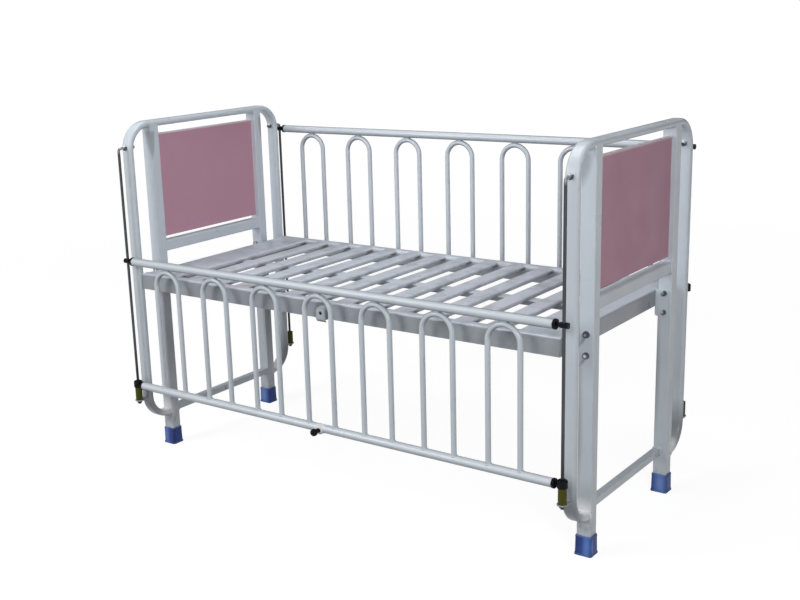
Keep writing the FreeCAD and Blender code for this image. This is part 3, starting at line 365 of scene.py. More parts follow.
def deck_coat(name, colours, sides):
    """The deck's greyer coat: painted shade on upright sides, in the catch's hole and under its
    lip; rubbed marks and painted sheen on top.
    """
    deck = colours.deck
    # Painted shade: upright faces start from the darkened colour, and faces that look up get the
    # full colour back below
    finish = Finish(name, scaled(deck, sides), 0.4)
    coat_texture(finish, scaled(deck, sides))

    # Painted shade on the inner faces beside the side rails, before the tops get the full colour
    inner_side = finish.near((0, 0.284, 0), 0.03, Y_ONLY)
    finish.tint(inner_side, scaled(deck, 0.8))
    finish.tint(finish.facing_up(), deck)

    catch = finish.near((0, 0.338, 0.53), 0.03)
    finish.tint(catch, scaled(colours.coat, 0.9))
    # Painted shade in the catch's hole and under its lip
    hole = finish.near((0.0085, 0.3195, 0.5262), 0.0105, (1, 1.3, 1))
    finish.tint(finish.steeper(hole, 0.1, 0.35), HOLE_SHADE)
    lip = finish.near((0, 0.331, 0.506), 0.0105, (0.35, 1, 1))
    finish.tint(finish.steeper(lip, 0.1, 0.4), LIP_SHADE)

    dulled = finish.noise(16, detail=5, roughness=0.65)
    finish.tint(finish.grain(dulled, 0.48, 0.66), DULL_DECK, 0.5)
    # Rubbed marks on the tops, which also stand for painted sheen
    rubbed_and_sheen = finish.noise(23, detail=6, roughness=0.7, stretch=(1, 0.4, 1))
    finish.tint(finish.both(finish.grain(rubbed_and_sheen, 0.55, 0.7), finish.facing_up()), RUBBED_AND_SHEEN_DECK, 0.5)
    return finish


def slat_coat(colours):
    """The deck's coat on slats and beam, with painted shade where the slats meet the rails and the
    beam.
    """
    finish = deck_coat("slat_coat", colours, SLAT_SIDES)
    upright = finish.facing(0.65, 0.2)
    # Painted shade on the slats' upright sides where they meet the side rails and the beam
    at_rails, at_beam = (0.28, 0.8), (0.024, 0.4)
    for across, strength in (at_rails, at_beam):
        corner = finish.steeper(finish.near((0, across, 0), 0.03, Y_ONLY), 0, 0.6)
        finish.tint(finish.both(corner, upright), scaled(colours.deck, 0.1), strength)
    return finish.material


def laminate(colours):
    """Smooth coloured board with a faint fibre fleck, slight waviness and painted highlights on its
    top and side edges.
    """
    finish = Finish("panel_laminate", colours.panel, 0.55)
    fleck = finish.noise(900, detail=2)
    finish.tint(finish.grain(fleck, 0.55, 0.75), scaled(colours.panel, 1.25), 0.35)
    clouds = finish.noise(4, detail=3)
    finish.tint(finish.grain(clouds, 0.4, 0.7), scaled(colours.panel, 0.88), 0.5)
    # Painted highlights along each panel's top and side edges
    for spot, stretch in (((END_X, 0, PANEL_TOP), Z_ONLY), ((END_X, PANEL_SIDE, 0), Y_ONLY)):
        finish.tint(finish.near(spot, 0.006, stretch), PANEL_EDGE_HIGHLIGHT)
    finish.rough(finish.noise(14, detail=4), 0.48, 0.6)
    finish.bump(finish.noise(650, detail=2), 0.1, 0.0002)
    finish.bump(finish.noise(7, detail=1), 0.03, 0.002)
    finish.shader.inputs["Specular IOR Level"].default_value = 0.35
    return finish.material


def sleeve_rubber(colour):
    """Olive rubber that light goes into a little, with a soft bloom and dust in its grain."""
    finish = Finish("sleeve_rubber", colour, 0.45)
    clouds = finish.noise(60, detail=4, roughness=0.6)
    finish.tint(finish.grain(clouds, 0.4, 0.7), scaled(colour, 1.45), 0.5)
    specks = finish.noise(420, detail=3)
    finish.tint(finish.grain(specks, 0.62, 0.75), (0.2, 0.2, 0.08), 0.4)
    finish.rough(finish.noise(90, detail=4), 0.38, 0.55)
    finish.bump(finish.noise(300, detail=3), 0.2, 0.0004)
    finish.shader.inputs["Specular IOR Level"].default_value = 0.2
    finish.shader.inputs["Subsurface Weight"].default_value = 0.3
    finish.shader.inputs["Subsurface Radius"].default_value = (0.004, 0.004, 0.001)
    return finish.material


def boot_rubber(colour):
    """Glossy blue rubber: painted sheen down its faces, painted shade at one corner, painted
    highlights on its rim and base lip, and dirt at its foot.
    """
    finish = Finish("boot_rubber", colour, 0.34)
    clouds = finish.noise(60, detail=4, roughness=0.6)
    finish.tint(finish.grain(clouds, 0.4, 0.7), scaled(colour, 1.5), 0.5)
    # Painted sheen on the outer and inner faces, painted shade at one corner, and painted
    # highlights on the rim and the base lip
    painted_light_marks = (  # spot, reach, stretch, colour, strength
        ((0.710, 0.246, 0.024), 0.014, (1, 1, 0.22), (0.16, 0.30, 0.74), 1.0),
        ((0.7225, 0.236, 0.024), 0.007, (1, 1, 0.22), (0.16, 0.30, 0.74), 0.8),
        ((0.678, 0.246, 0.026), 0.016, (1, 1, 0.2), scaled(colour, 0.4), 1.0),
        ((0.704, 0.204, 0.026), 0.022, (1, 1, 0.3), (0.2, 0.33, 0.72), 1.0),
        ((END_X, LEG_Y, 0.049), 0.0022, Z_ONLY, (0.2, 0.27, 0.5), 0.6),
        ((END_X, LEG_Y, 0.0035), 0.0024, Z_ONLY, (0.14, 0.22, 0.52), 0.7),
    )
    for spot, reach, stretch, other, strength in painted_light_marks:
        finish.tint(finish.near(spot, reach, stretch), other, strength)
    dirt = finish.grain(finish.noise(160, detail=5, roughness=0.7), 0.5, 0.68)
    foot = finish.near((END_X, LEG_Y, 0), 0.012, Z_ONLY)
    finish.tint(finish.both(foot, dirt), (0.12, 0.12, 0.13), 0.6)
    specks = finish.noise(420, detail=3)
    finish.tint(finish.grain(specks, 0.62, 0.75), (0.3, 0.35, 0.5), 0.35)
    finish.rough(finish.noise(90, detail=4), 0.34, 0.5)
    finish.bump(finish.noise(300, detail=3), 0.2, 0.0004)
    finish.shader.inputs["Specular IOR Level"].default_value = 0.2
    return finish.material


def black_plastic(colours):
    """Injection-moulded plastic, satin, with fine scuffs."""
    finish = Finish("black_plastic", colours.plastic, 0.38)
    scuffs = finish.noise(240, detail=5, roughness=0.7, stretch=(1, 1, 0.2))
    finish.tint(finish.grain(scuffs, 0.6, 0.75), (0.05, 0.05, 0.06), 0.4)
    finish.rough(finish.noise(120, detail=4), 0.34, 0.54)
    finish.bump(finish.noise(700, detail=2), 0.12, 0.0002)
    finish.shader.inputs["Specular IOR Level"].default_value = 0.12
    return finish.material


def dark_rod(colours):
    """Oiled black steel rod: streaked along its length, with painted shade at its foot, worn at its
    bend.
    """
    finish = Finish("dark_rod_steel", colours.rod, 0.36, metallic=0.85)
    streaks = finish.noise(260, detail=5, roughness=0.65, stretch=(1, 1, 0.02))
    finish.tint(finish.grain(streaks, 0.55, 0.75), (0.2, 0.2, 0.21), 0.5)
    # Painted shade: near black at the bottom nut and darker towards the rod's foot
    foot_nut = finish.near((END_X, ROD_Y, 0.163), 0.012)
    finish.tint(foot_nut, (0.006, 0.006, 0.008))
    foot = finish.near((END_X, ROD_Y, 0.2), 0.16)
    finish.tint(foot, scaled(colours.rod, 0.35))
    bend = finish.near((END_X, 0.338, 0.924), 0.024)
    worn = finish.ramp(finish.noise(150, detail=4), "Fac", 0.35, 0.55, 0.3, 1)
    finish.tint(finish.both(bend, worn), (0.75, 0.77, 0.8))
    finish.rough(finish.noise(200, detail=4, stretch=(1, 1, 0.05)), 0.28, 0.46)
    finish.bump(finish.noise(900, detail=2, stretch=(1, 1, 0.03)), 0.15, 0.0002)
    return finish.material


def bright_zinc(colours):
    """Zinc plate: mottled, with painted highlights on the bolts' heads, their nuts and the rods'
    nuts.
    """
    finish = Finish("bright_zinc", colours.zinc, 0.36, metallic=0.9)
    mottle = finish.noise(350, detail=4, roughness=0.6)
    finish.tint(finish.grain(mottle, 0.45, 0.7), scaled(colours.zinc, 0.45), 0.7)
    washers = finish.near((0, 0.244, 0), 0.012, Y_ONLY)
    finish.tint(washers, scaled(colours.zinc, 1.3))
    # Painted highlights on each bolt's head and on its nut
    for bolt in BOLT_HEIGHTS:
        head = finish.near((0.6995, 0.245, bolt), 0.0048, (1, 0.5, 1))
        finish.tint(head, (0.95, 0.96, 0.97))
        nut = finish.near((0.6975, 0.2, bolt + 0.002), 0.0055, (1, 0.7, 1))
        finish.tint(nut, (0.8, 0.82, 0.86))
    # Painted highlight on the rods' top nuts
    rod_nuts = finish.near((END_X, 0.31, 0.926), 0.0085, (1, 0.2, 1))
    finish.tint(finish.steeper(rod_nuts, 0.15, 0.5), (0.95, 0.96, 0.98))
    finish.rough(finish.noise(500, detail=3), 0.3, 0.5)
    finish.bump(finish.noise(800, detail=2), 0.15, 0.0002)
    return finish.material


def beech():
    """Plain turned dowel, with grain along it."""
    finish = Finish("beech", (0.5, 0.33, 0.18), 0.6)
    grain = finish.noise(400, detail=5, stretch=(1, 0.05, 1))
    finish.tint(finish.grain(grain, 0.4, 0.7), (0.36, 0.22, 0.11), 0.6)
    finish.bump(grain, 0.2, 0.0003)
    return finish.material


def in_slot(slot):
    """Names of the CAD pieces whose material slot is this one."""
    return [name for name in NODES if SLOT_OF[name] == slot]


def give(material, names):
    """Gives a material to CAD pieces."""
    for name in names:
        for place in NODES[name].material_slots:
            place.material = material


# ------------------------------------------------------------------ beads, threads and plates


ALONG, ACROSS, UPWARD = Vector((1, 0, 0)), Vector((0, 1, 0)), Vector((0, 0, 1))


def skin(grown, rings, closed=False):
    """Joins each ring of vertices to the next by faces, and fills both ends unless they meet."""
    pairs = list(zip(rings, rings[1:]))
    if closed:
        pairs.append((rings[-1], rings[0]))
    around = len(rings[0])
    for near, far in pairs:
        for turn in range(around):
            following = (turn + 1) % around
            grown.faces.new((near[turn], near[following], far[following], far[turn]))
    if not closed:
        grown.faces.new(rings[0])
        grown.faces.new(reversed(rings[-1]))


def lay_bead(grown, points, radius, ripple, up, closed=False):
    """A weld along a path: a tube that swells with each ripple, drawn out thin at open ends."""
    around, swell, thin_end = 8, 0.16, 0.4
    rings, run = [], 0.0
    last = len(points) - 1
    for step, point in enumerate(points):
        if step:
            run += (point - points[step - 1]).length
        ahead = points[(step + 1) % len(points)] if closed or step < last else point
        behind = points[step - 1] if closed or step else point
        along = (ahead - behind).normalized()
        side = along.cross(up).normalized()
        rise = side.cross(along)
        reach = radius * (1 + swell * math.sin(math.tau * run / ripple))
        if not closed and step in (0, last):
            reach *= thin_end
        ring = []
        for turn in range(around):
            angle = math.tau * turn / around
            out = side * math.cos(angle) + rise * math.sin(angle)
            ring.append(grown.verts.new(point + out * reach))
        rings.append(ring)
    skin(grown, rings, closed)


def cut_thread(grown, start, tip, radius, pitch):
    """A screw thread from start to tip: a sleeve whose surface rises and falls along a helix."""
    around, steps_a_turn, depth = 24, 6, 0.0003
    along = (tip - start).normalized()
    side = along.orthogonal().normalized()
    rise = along.cross(side)
    rows = max(2, round((tip - start).length / pitch * steps_a_turn))
    rings = []
    for row in range(rows + 1):
        centre = start.lerp(tip, row / rows)
        ring = []
        for turn in range(around):
            phase = (row / steps_a_turn - turn / around) % 1
            reach = radius + depth * (1 - abs(2 * phase - 1))
            angle = math.tau * turn / around
            out = side * math.cos(angle) + rise * math.sin(angle)
            ring.append(grown.verts.new(centre + out * reach))
        rings.append(ring)
    skin(grown, rings)


def line(start, end):
    """Evenly spaced points from start to end, close enough to carry a weld's ripples."""
    spacing = 0.0008
    start, end = Vector(start), Vector(end)
    count = max(3, round((end - start).length / spacing))
    return [start.lerp(end, step / count) for step in range(count + 1)]


def piece(name, body, finish_slot, material, grow, *sizes, smooth=True):
    """Grows a mesh with one of the functions below, as a piece that rides on a body."""
    grown = bmesh.new()
    grow(grown, *sizes)
    bmesh.ops.recalc_face_normals(grown, faces=grown.faces)
    mesh = bpy.data.meshes.new(name)
    grown.to_mesh(mesh)
    grown.free()
    for face in mesh.polygons:
        face.use_smooth = smooth
    mesh.materials.append(material)
    made = bpy.data.objects.new(name, mesh)
    bpy.context.scene.collection.objects.link(made)
    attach(made, body)


def weld_ends(grown, radius, ripple):
    """Hoops to legs, cross members to legs, and the rods' tabs to the hoops."""
    cross_members = (  # middle, half width, underside, top
        (END_X, 0.015, 0.6015, 0.634),
        (0.6915, 0.01, 0.104, 0.124),
    )
    tab_y, tab_half, tab_faces = 0.3247, 0.011, (0.1743, 0.1707)
    off_leg, off_hoop, trim = 0.0006, 0.0004, 0.0015
    oval_steps, saddle_steps = 64, 40
    oval_reach, thin = OVAL_ROUND + radius * 0.3, radius * 0.7
    for sx, sy in CORNERS:
        oval = []
        for turn in range(oval_steps):
            angle = math.tau * turn / oval_steps
            flat = math.copysign(OVAL_FLAT, math.cos(angle))
            oval.append(Vector((sx * END_X + flat + oval_reach * math.cos(angle),
                                sy * (LEG_FACE + off_leg),
                                HOOP_LOW + oval_reach * math.sin(angle))))
        lay_bead(grown, oval, radius, ripple, ACROSS, closed=True)
        for face in (LEG_FACE, LEG_INNER):
            saddle = []
            for step in range(saddle_steps + 1):
                across = (2 * step / saddle_steps - 1) * (LEG_HALF - trim)
                past = max(0.0, abs(across) - OVAL_FLAT)
                drop = math.sqrt(max(0.0, (OVAL_ROUND + off_hoop) ** 2 - past ** 2))
                saddle.append(Vector((sx * END_X + across, sy * face, HOOP_HIGH - drop)))
            lay_bead(grown, saddle, radius, ripple, ACROSS)
        for middle, half, low, high in cross_members:
            corners = [(-half, low), (half, low), (half, high), (-half, high), (-half, low)]
            for (x0, z0), (x1, z1) in zip(corners, corners[1:]):
                seam = line((sx * middle + x0, sy * LEG_INNER, z0),
                            (sx * middle + x1, sy * LEG_INNER, z1))
                lay_bead(grown, seam, radius, ripple, ACROSS)
        for height in tab_faces:
            seam = line((sx * END_X - tab_half, sy * tab_y, height),
                        (sx * END_X + tab_half, sy * tab_y, height))
            lay_bead(grown, seam, thin, ripple, UPWARD)


def weld_deck(grown, radius, ripple):
    """Lugs to the deck's ends, catches to its sides, and slats to the side rails and the beam."""
    lug_x, lug_sides, lug_low, lug_high = 0.6755, (0.2053, 0.2087), 0.514, 0.5555
    catch_half, catch_y, catch_low, catch_high = 0.0148, 0.3222, 0.515, 0.54
    slat_side, slat_end, slat_low, slat_high = 0.0257, 0.2895, 0.5465, 0.5515
    fold, beam_near, beam_far, beam_top = 0.0255, 0.006, 0.015, 0.5462
    thin, thinner = radius * 0.8, radius * 0.7
    for sx, sy in CORNERS:
        for across in lug_sides:
            seam = line((sx * lug_x, sy * across, lug_low), (sx * lug_x, sy * across, lug_high))
            lay_bead(grown, seam, radius, ripple, ALONG)
    for sy in (-1, 1):
        for sx in (-1, 1):
            x, y = sx * catch_half, sy * catch_y
            seam = line((x, y, catch_low), (x, y, catch_high))
            lay_bead(grown, seam, thinner, ripple, ACROSS)
    for slat in range(SLAT_COUNT):
        middle = (slat - (SLAT_COUNT - 1) / 2) * SLAT_PITCH
        for sy in (-1, 1):
            for edge in (-1, 1):
                x, y = middle + edge * slat_side, sy * slat_end
                seam = line((x, y, slat_low), (x, y, slat_high))
                lay_bead(grown, seam, thin, ripple, ACROSS)
        for edge in (-1, 1):
            for sy in (-1, 1):
                x = middle + edge * fold
                seam = line((x, sy * beam_near, beam_top), (x, sy * beam_far, beam_top))
                lay_bead(grown, seam, thinner, ripple, UPWARD)


def weld_rail(grown, side, sign, radius, ripple):
    """Bars to both tubes of a drop rail, and the latch boss to its bottom tube."""
    top_half, off_middle, sunk = 0.009, 0.0027, 0.0002
    boss_radius, boss_drop, boss_angle = 0.0122, 0.002, 52
    foot_steps, boss_steps = 32, 24
    foot_reach, foot_rise = BAR_RADIUS + radius * 0.35, radius * 0.15
    y0, z0 = sign * ROD_Y, RAIL_LOW[side]
    top = z0 + BAR_RISE + BAR_HALF + BAR_RADIUS
    for bar in range(BAR_COUNT):
        middle = BAR_SHIFT[side] + (bar - BAR_COUNT // 2) * BAR_PITCH[side]
        for edge in (-1, 1):
            y, z = y0 + edge * off_middle, top - sunk
            seam = line((middle - top_half, y, z), (middle + top_half, y, z))
            lay_bead(grown, seam, radius, ripple, UPWARD)
            foot = []
            for turn in range(foot_steps):
                angle = math.tau * turn / foot_steps
                off = foot_reach * math.sin(angle)
                on_tube = math.sqrt(TUBE_RADIUS ** 2 - off ** 2)
                foot.append(Vector((middle + edge * BAR_HALF + foot_reach * math.cos(angle),
                                    y0 + off, z0 + on_tube + foot_rise)))
            lay_bead(grown, foot, radius, ripple, UPWARD, closed=True)
    for edge in (-1, 1):
        arc = []
        for step in range(boss_steps + 1):
            angle = math.radians(-boss_angle + step * 2 * boss_angle / boss_steps)
            high = boss_radius * math.sin(angle) - boss_drop
            out = math.sqrt(max(0, TUBE_RADIUS ** 2 - high ** 2))
            arc.append(Vector((edge * boss_radius * math.cos(angle), y0 + sign * out, z0 + high)))
        lay_bead(grown, arc, radius, ripple, ACROSS)


def close_deck_rails(grown, thickness):
    """A plate on each open end of the deck's long rails, cut to the rail's section."""
    outer, inner, low, high = 0.322, 0.290, 0.512, 0.557
    outer_round, inner_round = 0.006, 0.0095
    end_x, middle_y, middle_z = 0.675, 0.306, 0.5345
    layers = (  # how far out, how wide
        (-0.0002, 1.0),
        (thickness * 0.7, 1.0),
        (thickness, 0.96),
    )
    bend_steps = 8
    outline = [(outer, low)]
    for centre, bend, first in ((outer - outer_round, outer_round, 0),
                                (inner + inner_round, inner_round, 90)):
        for step in range(bend_steps + 1):
            angle = math.radians(first + step * 90 / bend_steps)
            outline.append((centre + bend * math.cos(angle), high - bend + bend * math.sin(angle)))
    outline.append((inner, low))
    for sx, sy in CORNERS:
        sheets = []
        for out, trim in layers:
            sheet = []
            for across, height in outline:
                y = middle_y + (across - middle_y) * trim
                z = middle_z + (height - middle_z) * trim
                sheet.append(grown.verts.new((sx * (end_x + out), sy * y, z)))
            sheets.append(sheet)
        skin(grown, sheets)


def fill_deck_ends(grown, thickness):
    """A sheet from each end rail to the slat beside it, lipped over both of their rolled edges."""
    near, far, top, half_width = 0.5994, 0.6556, 0.5573, 0.2985
    lip, sag, margin = 0.0006, 0.0003, 0.0008
    profile_steps, ribs_a_side = 8, 12
    profile = [(near, top - lip)]
    for step in range(profile_steps + 1):
        part = step / profile_steps
        profile.append((near + margin + (far - near - 2 * margin) * part,
                        top - sag * (2 * part - 1) ** 2))
    profile += [(far, top - lip), (far, top - thickness), (near, top - thickness)]
    for sx in (-1, 1):
        ribs = []
        for step in range(2 * ribs_a_side + 1):
            across = (step / ribs_a_side - 1) * half_width
            ribs.append([grown.verts.new((sx * x, across, z)) for x, z in profile])
        skin(grown, ribs)


def rounded_loop(middle, half_x, half_y, corner, height):
    """Points round a rectangle with rounded corners, level at a height."""
    corner_steps = 6
    points = []
    for quarter, (sx, sy) in enumerate(((1, 1), (-1, 1), (-1, -1), (1, -1))):
        for step in range(corner_steps + 1):
            angle = math.radians(quarter * 90 + step * 90 / corner_steps)
            points.append(Vector((
                middle[0] + sx * (half_x - corner) + corner * math.cos(angle),
                middle[1] + sy * (half_y - corner) + corner * math.sin(angle), height)))
    return points


def mould_lips(grown, radius):
    """A raised line round each boot below its rim, and one above its flared base."""
    corner, slow_ripple = 0.0062, 1.0
    at_rim, at_base = (0.0215, 0.0185, 0.0455), (0.022, 0.0202, 0.0042)
    for sx, sy in CORNERS:
        middle = (sx * END_X, sy * LEG_Y)
        for half_x, half_y, height in (at_rim, at_base):
            loop = rounded_loop(middle, half_x, half_y, corner, height)
            lay_bead(grown, loop, radius, slow_ripple, UPWARD, closed=True)


def thread_fasteners(grown, pitch):
    """The bare thread past each nut: rods above and below, and the frame bolts."""
    foot_start, foot_tip = 0.1646, 0.1612
    bend_start, bend_tip = 0.2965, 0.2922
    bolt_start, bolt_tip = 0.1991, 0.1972
    for sx, sy in CORNERS:
        threads = [((sy * ROD_Y, foot_start), (sy * ROD_Y, foot_tip)),
                   ((sy * bend_start, ROD_BEND), (sy * bend_tip, ROD_BEND))]
        for bolt in BOLT_HEIGHTS:
            threads.append(((sy * bolt_start, bolt), (sy * bolt_tip, bolt)))
        for start, tip in threads:
            cut_thread(grown, Vector((sx * END_X, *start)), Vector((sx * END_X, *tip)),
                       ROD_RADIUS, pitch)


def soften(node, width):
    """Rounds the sharp edges of a CAD piece."""
    weld = NODES[node].modifiers.new("joined", "WELD")
    weld.merge_threshold = 0.00001
    edge = NODES[node].modifiers.new("edge", "BEVEL")
    edge.width = width
    edge.segments = 2
    edge.limit_method = "ANGLE"
    edge.angle_limit = math.radians(50)


# ------------------------------------------------------------------ floor, lights and camera


LAMPS = (  # name, place, side in metres, watts
    ("right_softbox", (2.6, -2.6, 1.8), 1.6, 57),
    ("left_softbox", (-1.6, -2.4, 1.8), 1.4, 37),
    ("overhead_softbox", (0, -0.3, 2.4), 1.2, 13),
    ("head_softbox", (-1.6, 0.3, 2.8), 1.2, 8),
)
LAMPS_FACE = Vector((0, 0, 0.5))


def combine(tree, operation, first, second):
    """The result of a math node that two sockets feed."""
    node = tree.nodes.new("ShaderNodeMath")
    node.operation = operation
    tree.links.new(first, node.inputs[0])
    tree.links.new(second, node.inputs[1])
    return node.outputs[0]


def mapped(tree, source, low, high, low_value, high_value):
    """A socket's values from low to high, mapped to new ones."""
    node = tree.nodes.new("ShaderNodeMapRange")
    tree.links.new(source, node.inputs["Value"])
    node.inputs["From Min"].default_value = low
    node.inputs["From Max"].default_value = high
    node.inputs["To Min"].default_value = low_value
    node.inputs["To Max"].default_value = high_value
    return node.outputs[0]


def make_floor(settings):
    """A pale floor that shows near white to the camera, apart from the cot's soft shadow."""
    reach = 30
    glow_near, glow_far, far_glow = 1.2, 7.0, 0.98
    corners = [(-reach, -reach, 0), (reach, -reach, 0), (reach, reach, 0), (-reach, reach, 0)]
    mesh = bpy.data.meshes.new("floor")
    mesh.from_pydata(corners, [], [(0, 1, 2, 3)])
    floor = bpy.data.objects.new("floor", mesh)
    bpy.context.scene.collection.objects.link(floor)
    material = bpy.data.materials.new("floor_paper")
    material.use_nodes = True
    tree = material.node_tree
    paper = tree.nodes["Principled BSDF"]
    paper.inputs["Base Color"].default_value = tuple(settings.floor) + (1,)
    paper.inputs["Roughness"].default_value = 0.9
    path = tree.nodes.new("ShaderNodeLightPath").outputs
    seen = combine(tree, "MAXIMUM", path["Is Camera Ray"], path["Is Glossy Ray"])
    seen = combine(tree, "MAXIMUM", seen, path["Is Transmission Ray"])
    place = tree.nodes.new("ShaderNodeTexCoord")
    distance = tree.nodes.new("ShaderNodeVectorMath")
    distance.operation = "LENGTH"
    tree.links.new(place.outputs["Object"], distance.inputs[0])
    level = mapped(tree, distance.outputs["Value"], glow_near, glow_far, settings.glow, far_glow)
    glow = tree.nodes.new("ShaderNodeEmission")
    tree.links.new(combine(tree, "MULTIPLY", seen, level), glow.inputs["Strength"])
    both = tree.nodes.new("ShaderNodeAddShader")
    tree.links.new(paper.outputs[0], both.inputs[0])
    tree.links.new(glow.outputs[0], both.inputs[1])
    tree.links.new(both.outputs[0], tree.nodes["Material Output"].inputs["Surface"])
    mesh.materials.append(material)


def make_sky(settings):
    """Soft light, strongest overhead and weak at the horizon, seen as plain white itself."""
    horizon = 0.22
    world = bpy.data.worlds.new("studio")
    bpy.context.scene.world = world
    world.use_nodes = True
    tree = world.node_tree
    light = tree.nodes["Background"]
    light.inputs["Color"].default_value = (1, 1, 1, 1)
    place = tree.nodes.new("ShaderNodeTexCoord")
    split = tree.nodes.new("ShaderNodeSeparateXYZ")
    tree.links.new(place.outputs["Generated"], split.inputs[0])
    dome = mapped(tree, split.outputs["Z"], 0, 1, horizon * settings.sky, settings.sky)
    tree.links.new(dome, light.inputs["Strength"])
    white = tree.nodes.new("ShaderNodeBackground")
    white.inputs["Color"].default_value = (1, 1, 1, 1)
    white.inputs["Strength"].default_value = 1.0
    path = tree.nodes.new("ShaderNodeLightPath").outputs
    seen = combine(tree, "MAXIMUM", path["Is Camera Ray"], path["Is Transmission Ray"])
    mix = tree.nodes.new("ShaderNodeMixShader")
    tree.links.new(seen, mix.inputs[0])
    tree.links.new(light.outputs[0], mix.inputs[1])
    tree.links.new(white.outputs[0], mix.inputs[2])
    tree.links.new(mix.outputs[0], tree.nodes["World Output"].inputs["Surface"])


def make_lamp(name, place, side, watts):
    """A square softbox that faces the middle of the cot."""
    data = bpy.data.lights.new(name, "AREA")
    data.size = side
    data.energy = watts
    lamp = bpy.data.objects.new(name, data)
    bpy.context.scene.collection.objects.link(lamp)
    lamp.location = place
    lamp.rotation_euler = (LAMPS_FACE - Vector(place)).to_track_quat("-Z", "Y").to_euler()


def make_camera(settings):
    """A camera at the eye point, turned and tilted to the cot, with a slight lean."""
    data = bpy.data.cameras.new("camera")
    data.sensor_width = 36
    data.lens = settings.lens
    data.shift_x, data.shift_y = settings.shift
    camera = bpy.data.objects.new("camera", data)
    bpy.context.scene.collection.objects.link(camera)
    sine, cosine = math.sin(settings.turn), math.cos(settings.turn)
    level = math.cos(settings.tilt)
    ahead = Vector((-sine * level, cosine * level, -math.sin(settings.tilt)))
    right = Vector((cosine, sine, 0))
    down = ahead.cross(right)
    lean_right = right * math.cos(settings.roll) + down * math.sin(settings.roll)
    lean_down = down * math.cos(settings.roll) - right * math.sin(settings.roll)
    turn = Matrix((lean_right, -lean_down, -ahead)).transposed()
    camera.matrix_world = Matrix.Translation(Vector(settings.eye)) @ turn.to_4x4()
    bpy.context.scene.camera = camera


# ------------------------------------------------------------------ operators


class COT_OT_coat(bpy.types.Operator):
    """Powder-coat the ends, deck and drop rails"""
    bl_idname = "cot.coat"
    bl_label = "Coat Steel"

    def execute(self, context):
        colours = context.scene.cot_colours
        give(powder_coat(colours), in_slot("white_coat"))
        give(deck_coat("deck_coat", colours, FRAME_SIDES).material, DECK_FRAME)
        give(slat_coat(colours), DECK_BED)
        return {"FINISHED"}


class COT_OT_panels(bpy.types.Operator):
    """Laminate the panels and show their dowels as plain wood"""
    bl_idname = "cot.panels"
    bl_label = "Panels"

    def execute(self, context):
        give(laminate(context.scene.cot_colours), in_slot("panel_laminate"))
        give(beech(), in_slot("dowel_wood"))
        return {"FINISHED"}


class COT_OT_rubber(bpy.types.Operator):
    """Mould the boots and the landing sleeves"""
    bl_idname = "cot.rubber"
    bl_label = "Boots and Sleeves"

    def execute(self, context):
        colours = context.scene.cot_colours
        boots = boot_rubber(colours.boot)
        give(boots, in_slot("blue_rubber"))
        give(sleeve_rubber(colours.sleeve), in_slot("olive_rubber"))
        piece("boot_lips", "frame", "blue_rubber", boots, mould_lips,
              context.scene.cot_details.lip)
        return {"FINISHED"}


class COT_OT_plastic(bpy.types.Operator):
    """Finish the tube plugs, collars and latch knobs"""
    bl_idname = "cot.plastic"
    bl_label = "Plastic Parts"

    def execute(self, context):
        give(black_plastic(context.scene.cot_colours), in_slot("black_plastic"))
        return {"FINISHED"}


class COT_OT_steel(bpy.types.Operator):
    """Finish the guide rods, fasteners, latch pins and springs"""
    bl_idname = "cot.steel"
    bl_label = "Bare Steel"

    def execute(self, context):
        colours = context.scene.cot_colours
        give(dark_rod(colours), in_slot("dark_steel"))
        give(bright_zinc(colours), in_slot("zinc_steel"))
        return {"FINISHED"}


class COT_OT_welds(bpy.types.Operator):
    """Weld the ends, the deck and the drop rails, and close the deck's open ends"""
    bl_idname = "cot.welds"
    bl_label = "Welds and Plates"

    def execute(self, context):
        details = context.scene.cot_details
        coat, deck, slats = (
            bpy.data.materials[name] for name in ("powder_coat", "deck_coat", "slat_coat"))
        fine = details.fine_bead, details.ripple
        piece("end_welds", "frame", "white_coat", coat, weld_ends, details.bead, details.ripple)
        piece("deck_welds", "frame", "white_coat", deck, weld_deck, *fine)
        piece("deck_rail_caps", "frame", "white_coat", deck, close_deck_rails, details.cap,
              smooth=False)
        piece("deck_end_sheets", "frame", "white_coat", slats, fill_deck_ends, details.sheet,
              smooth=False)
        for side, sign in RAILS:
            piece(f"{side}_rail_welds", f"{side}_rail", "white_coat", coat, weld_rail, side, sign,
                  *fine)
        return {"FINISHED"}


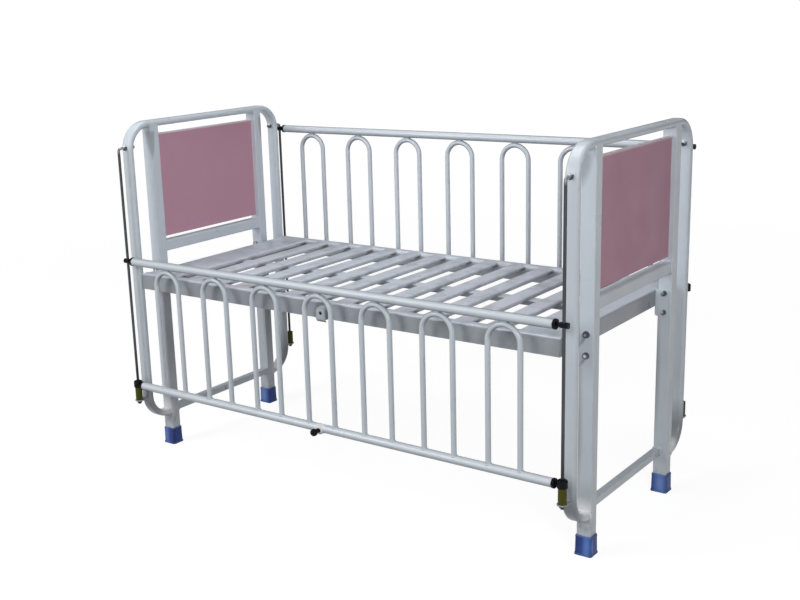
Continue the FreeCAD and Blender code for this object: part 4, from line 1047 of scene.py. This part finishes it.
class COT_OT_threads(bpy.types.Operator):
    """Cut the bare threads and round the edges of the fasteners and plates"""
    bl_idname = "cot.threads"
    bl_label = "Threads and Edges"

    def execute(self, context):
        details = context.scene.cot_details
        zinc = bpy.data.materials["bright_zinc"]
        piece("bare_threads", "frame", "zinc_steel", zinc, thread_fasteners, details.thread)
        for node in SHARP_NODES:
            soften(node, details.edge)
        return {"FINISHED"}


class COT_OT_stage(bpy.types.Operator):
    """Set up the floor, the lights and the camera"""
    bl_idname = "cot.stage"
    bl_label = "Stage"

    def execute(self, context):
        settings = context.scene.cot_stage
        make_floor(settings)
        make_sky(settings)
        for lamp in LAMPS:
            make_lamp(*lamp)
        make_camera(settings)
        context.scene.view_settings.view_transform = "Standard"
        return {"FINISHED"}


# ------------------------------------------------------------------ add-on


STEPS = (COT_OT_coat, COT_OT_panels, COT_OT_rubber, COT_OT_plastic, COT_OT_steel, COT_OT_welds,
         COT_OT_threads, COT_OT_stage)


class COT_PT_panel(bpy.types.Panel):
    """Sizes, colours and steps of the cot"""
    bl_idname = "COT_PT_panel"
    bl_label = "Hospital Cot"
    bl_space_type = "VIEW_3D"
    bl_region_type = "UI"
    bl_category = "Cot"

    def draw(self, context):
        layout = self.layout
        scene = context.scene
        for settings in (scene.cot_colours, scene.cot_details, scene.cot_stage):
            box = layout.box()
            for name in settings.__annotations__:
                box.prop(settings, name)
        for step in STEPS:
            layout.operator(step.bl_idname)


CLASSES = (CotColours, CotDetails, CotStage) + STEPS + (COT_PT_panel,)


def register():
    for item in CLASSES:
        bpy.utils.register_class(item)
    bpy.types.Scene.cot_colours = bpy.props.PointerProperty(type=CotColours)
    bpy.types.Scene.cot_details = bpy.props.PointerProperty(type=CotDetails)
    bpy.types.Scene.cot_stage = bpy.props.PointerProperty(type=CotStage)


def unregister():
    del bpy.types.Scene.cot_stage
    del bpy.types.Scene.cot_details
    del bpy.types.Scene.cot_colours
    for item in reversed(CLASSES):
        bpy.utils.unregister_class(item)


def main():
    register()
    bpy.ops.cot.coat()
    bpy.ops.cot.panels()
    bpy.ops.cot.rubber()
    bpy.ops.cot.plastic()
    bpy.ops.cot.steel()
    bpy.ops.cot.welds()
    bpy.ops.cot.threads()
    bpy.ops.cot.stage()


if __name__ == "__main__":
    main()
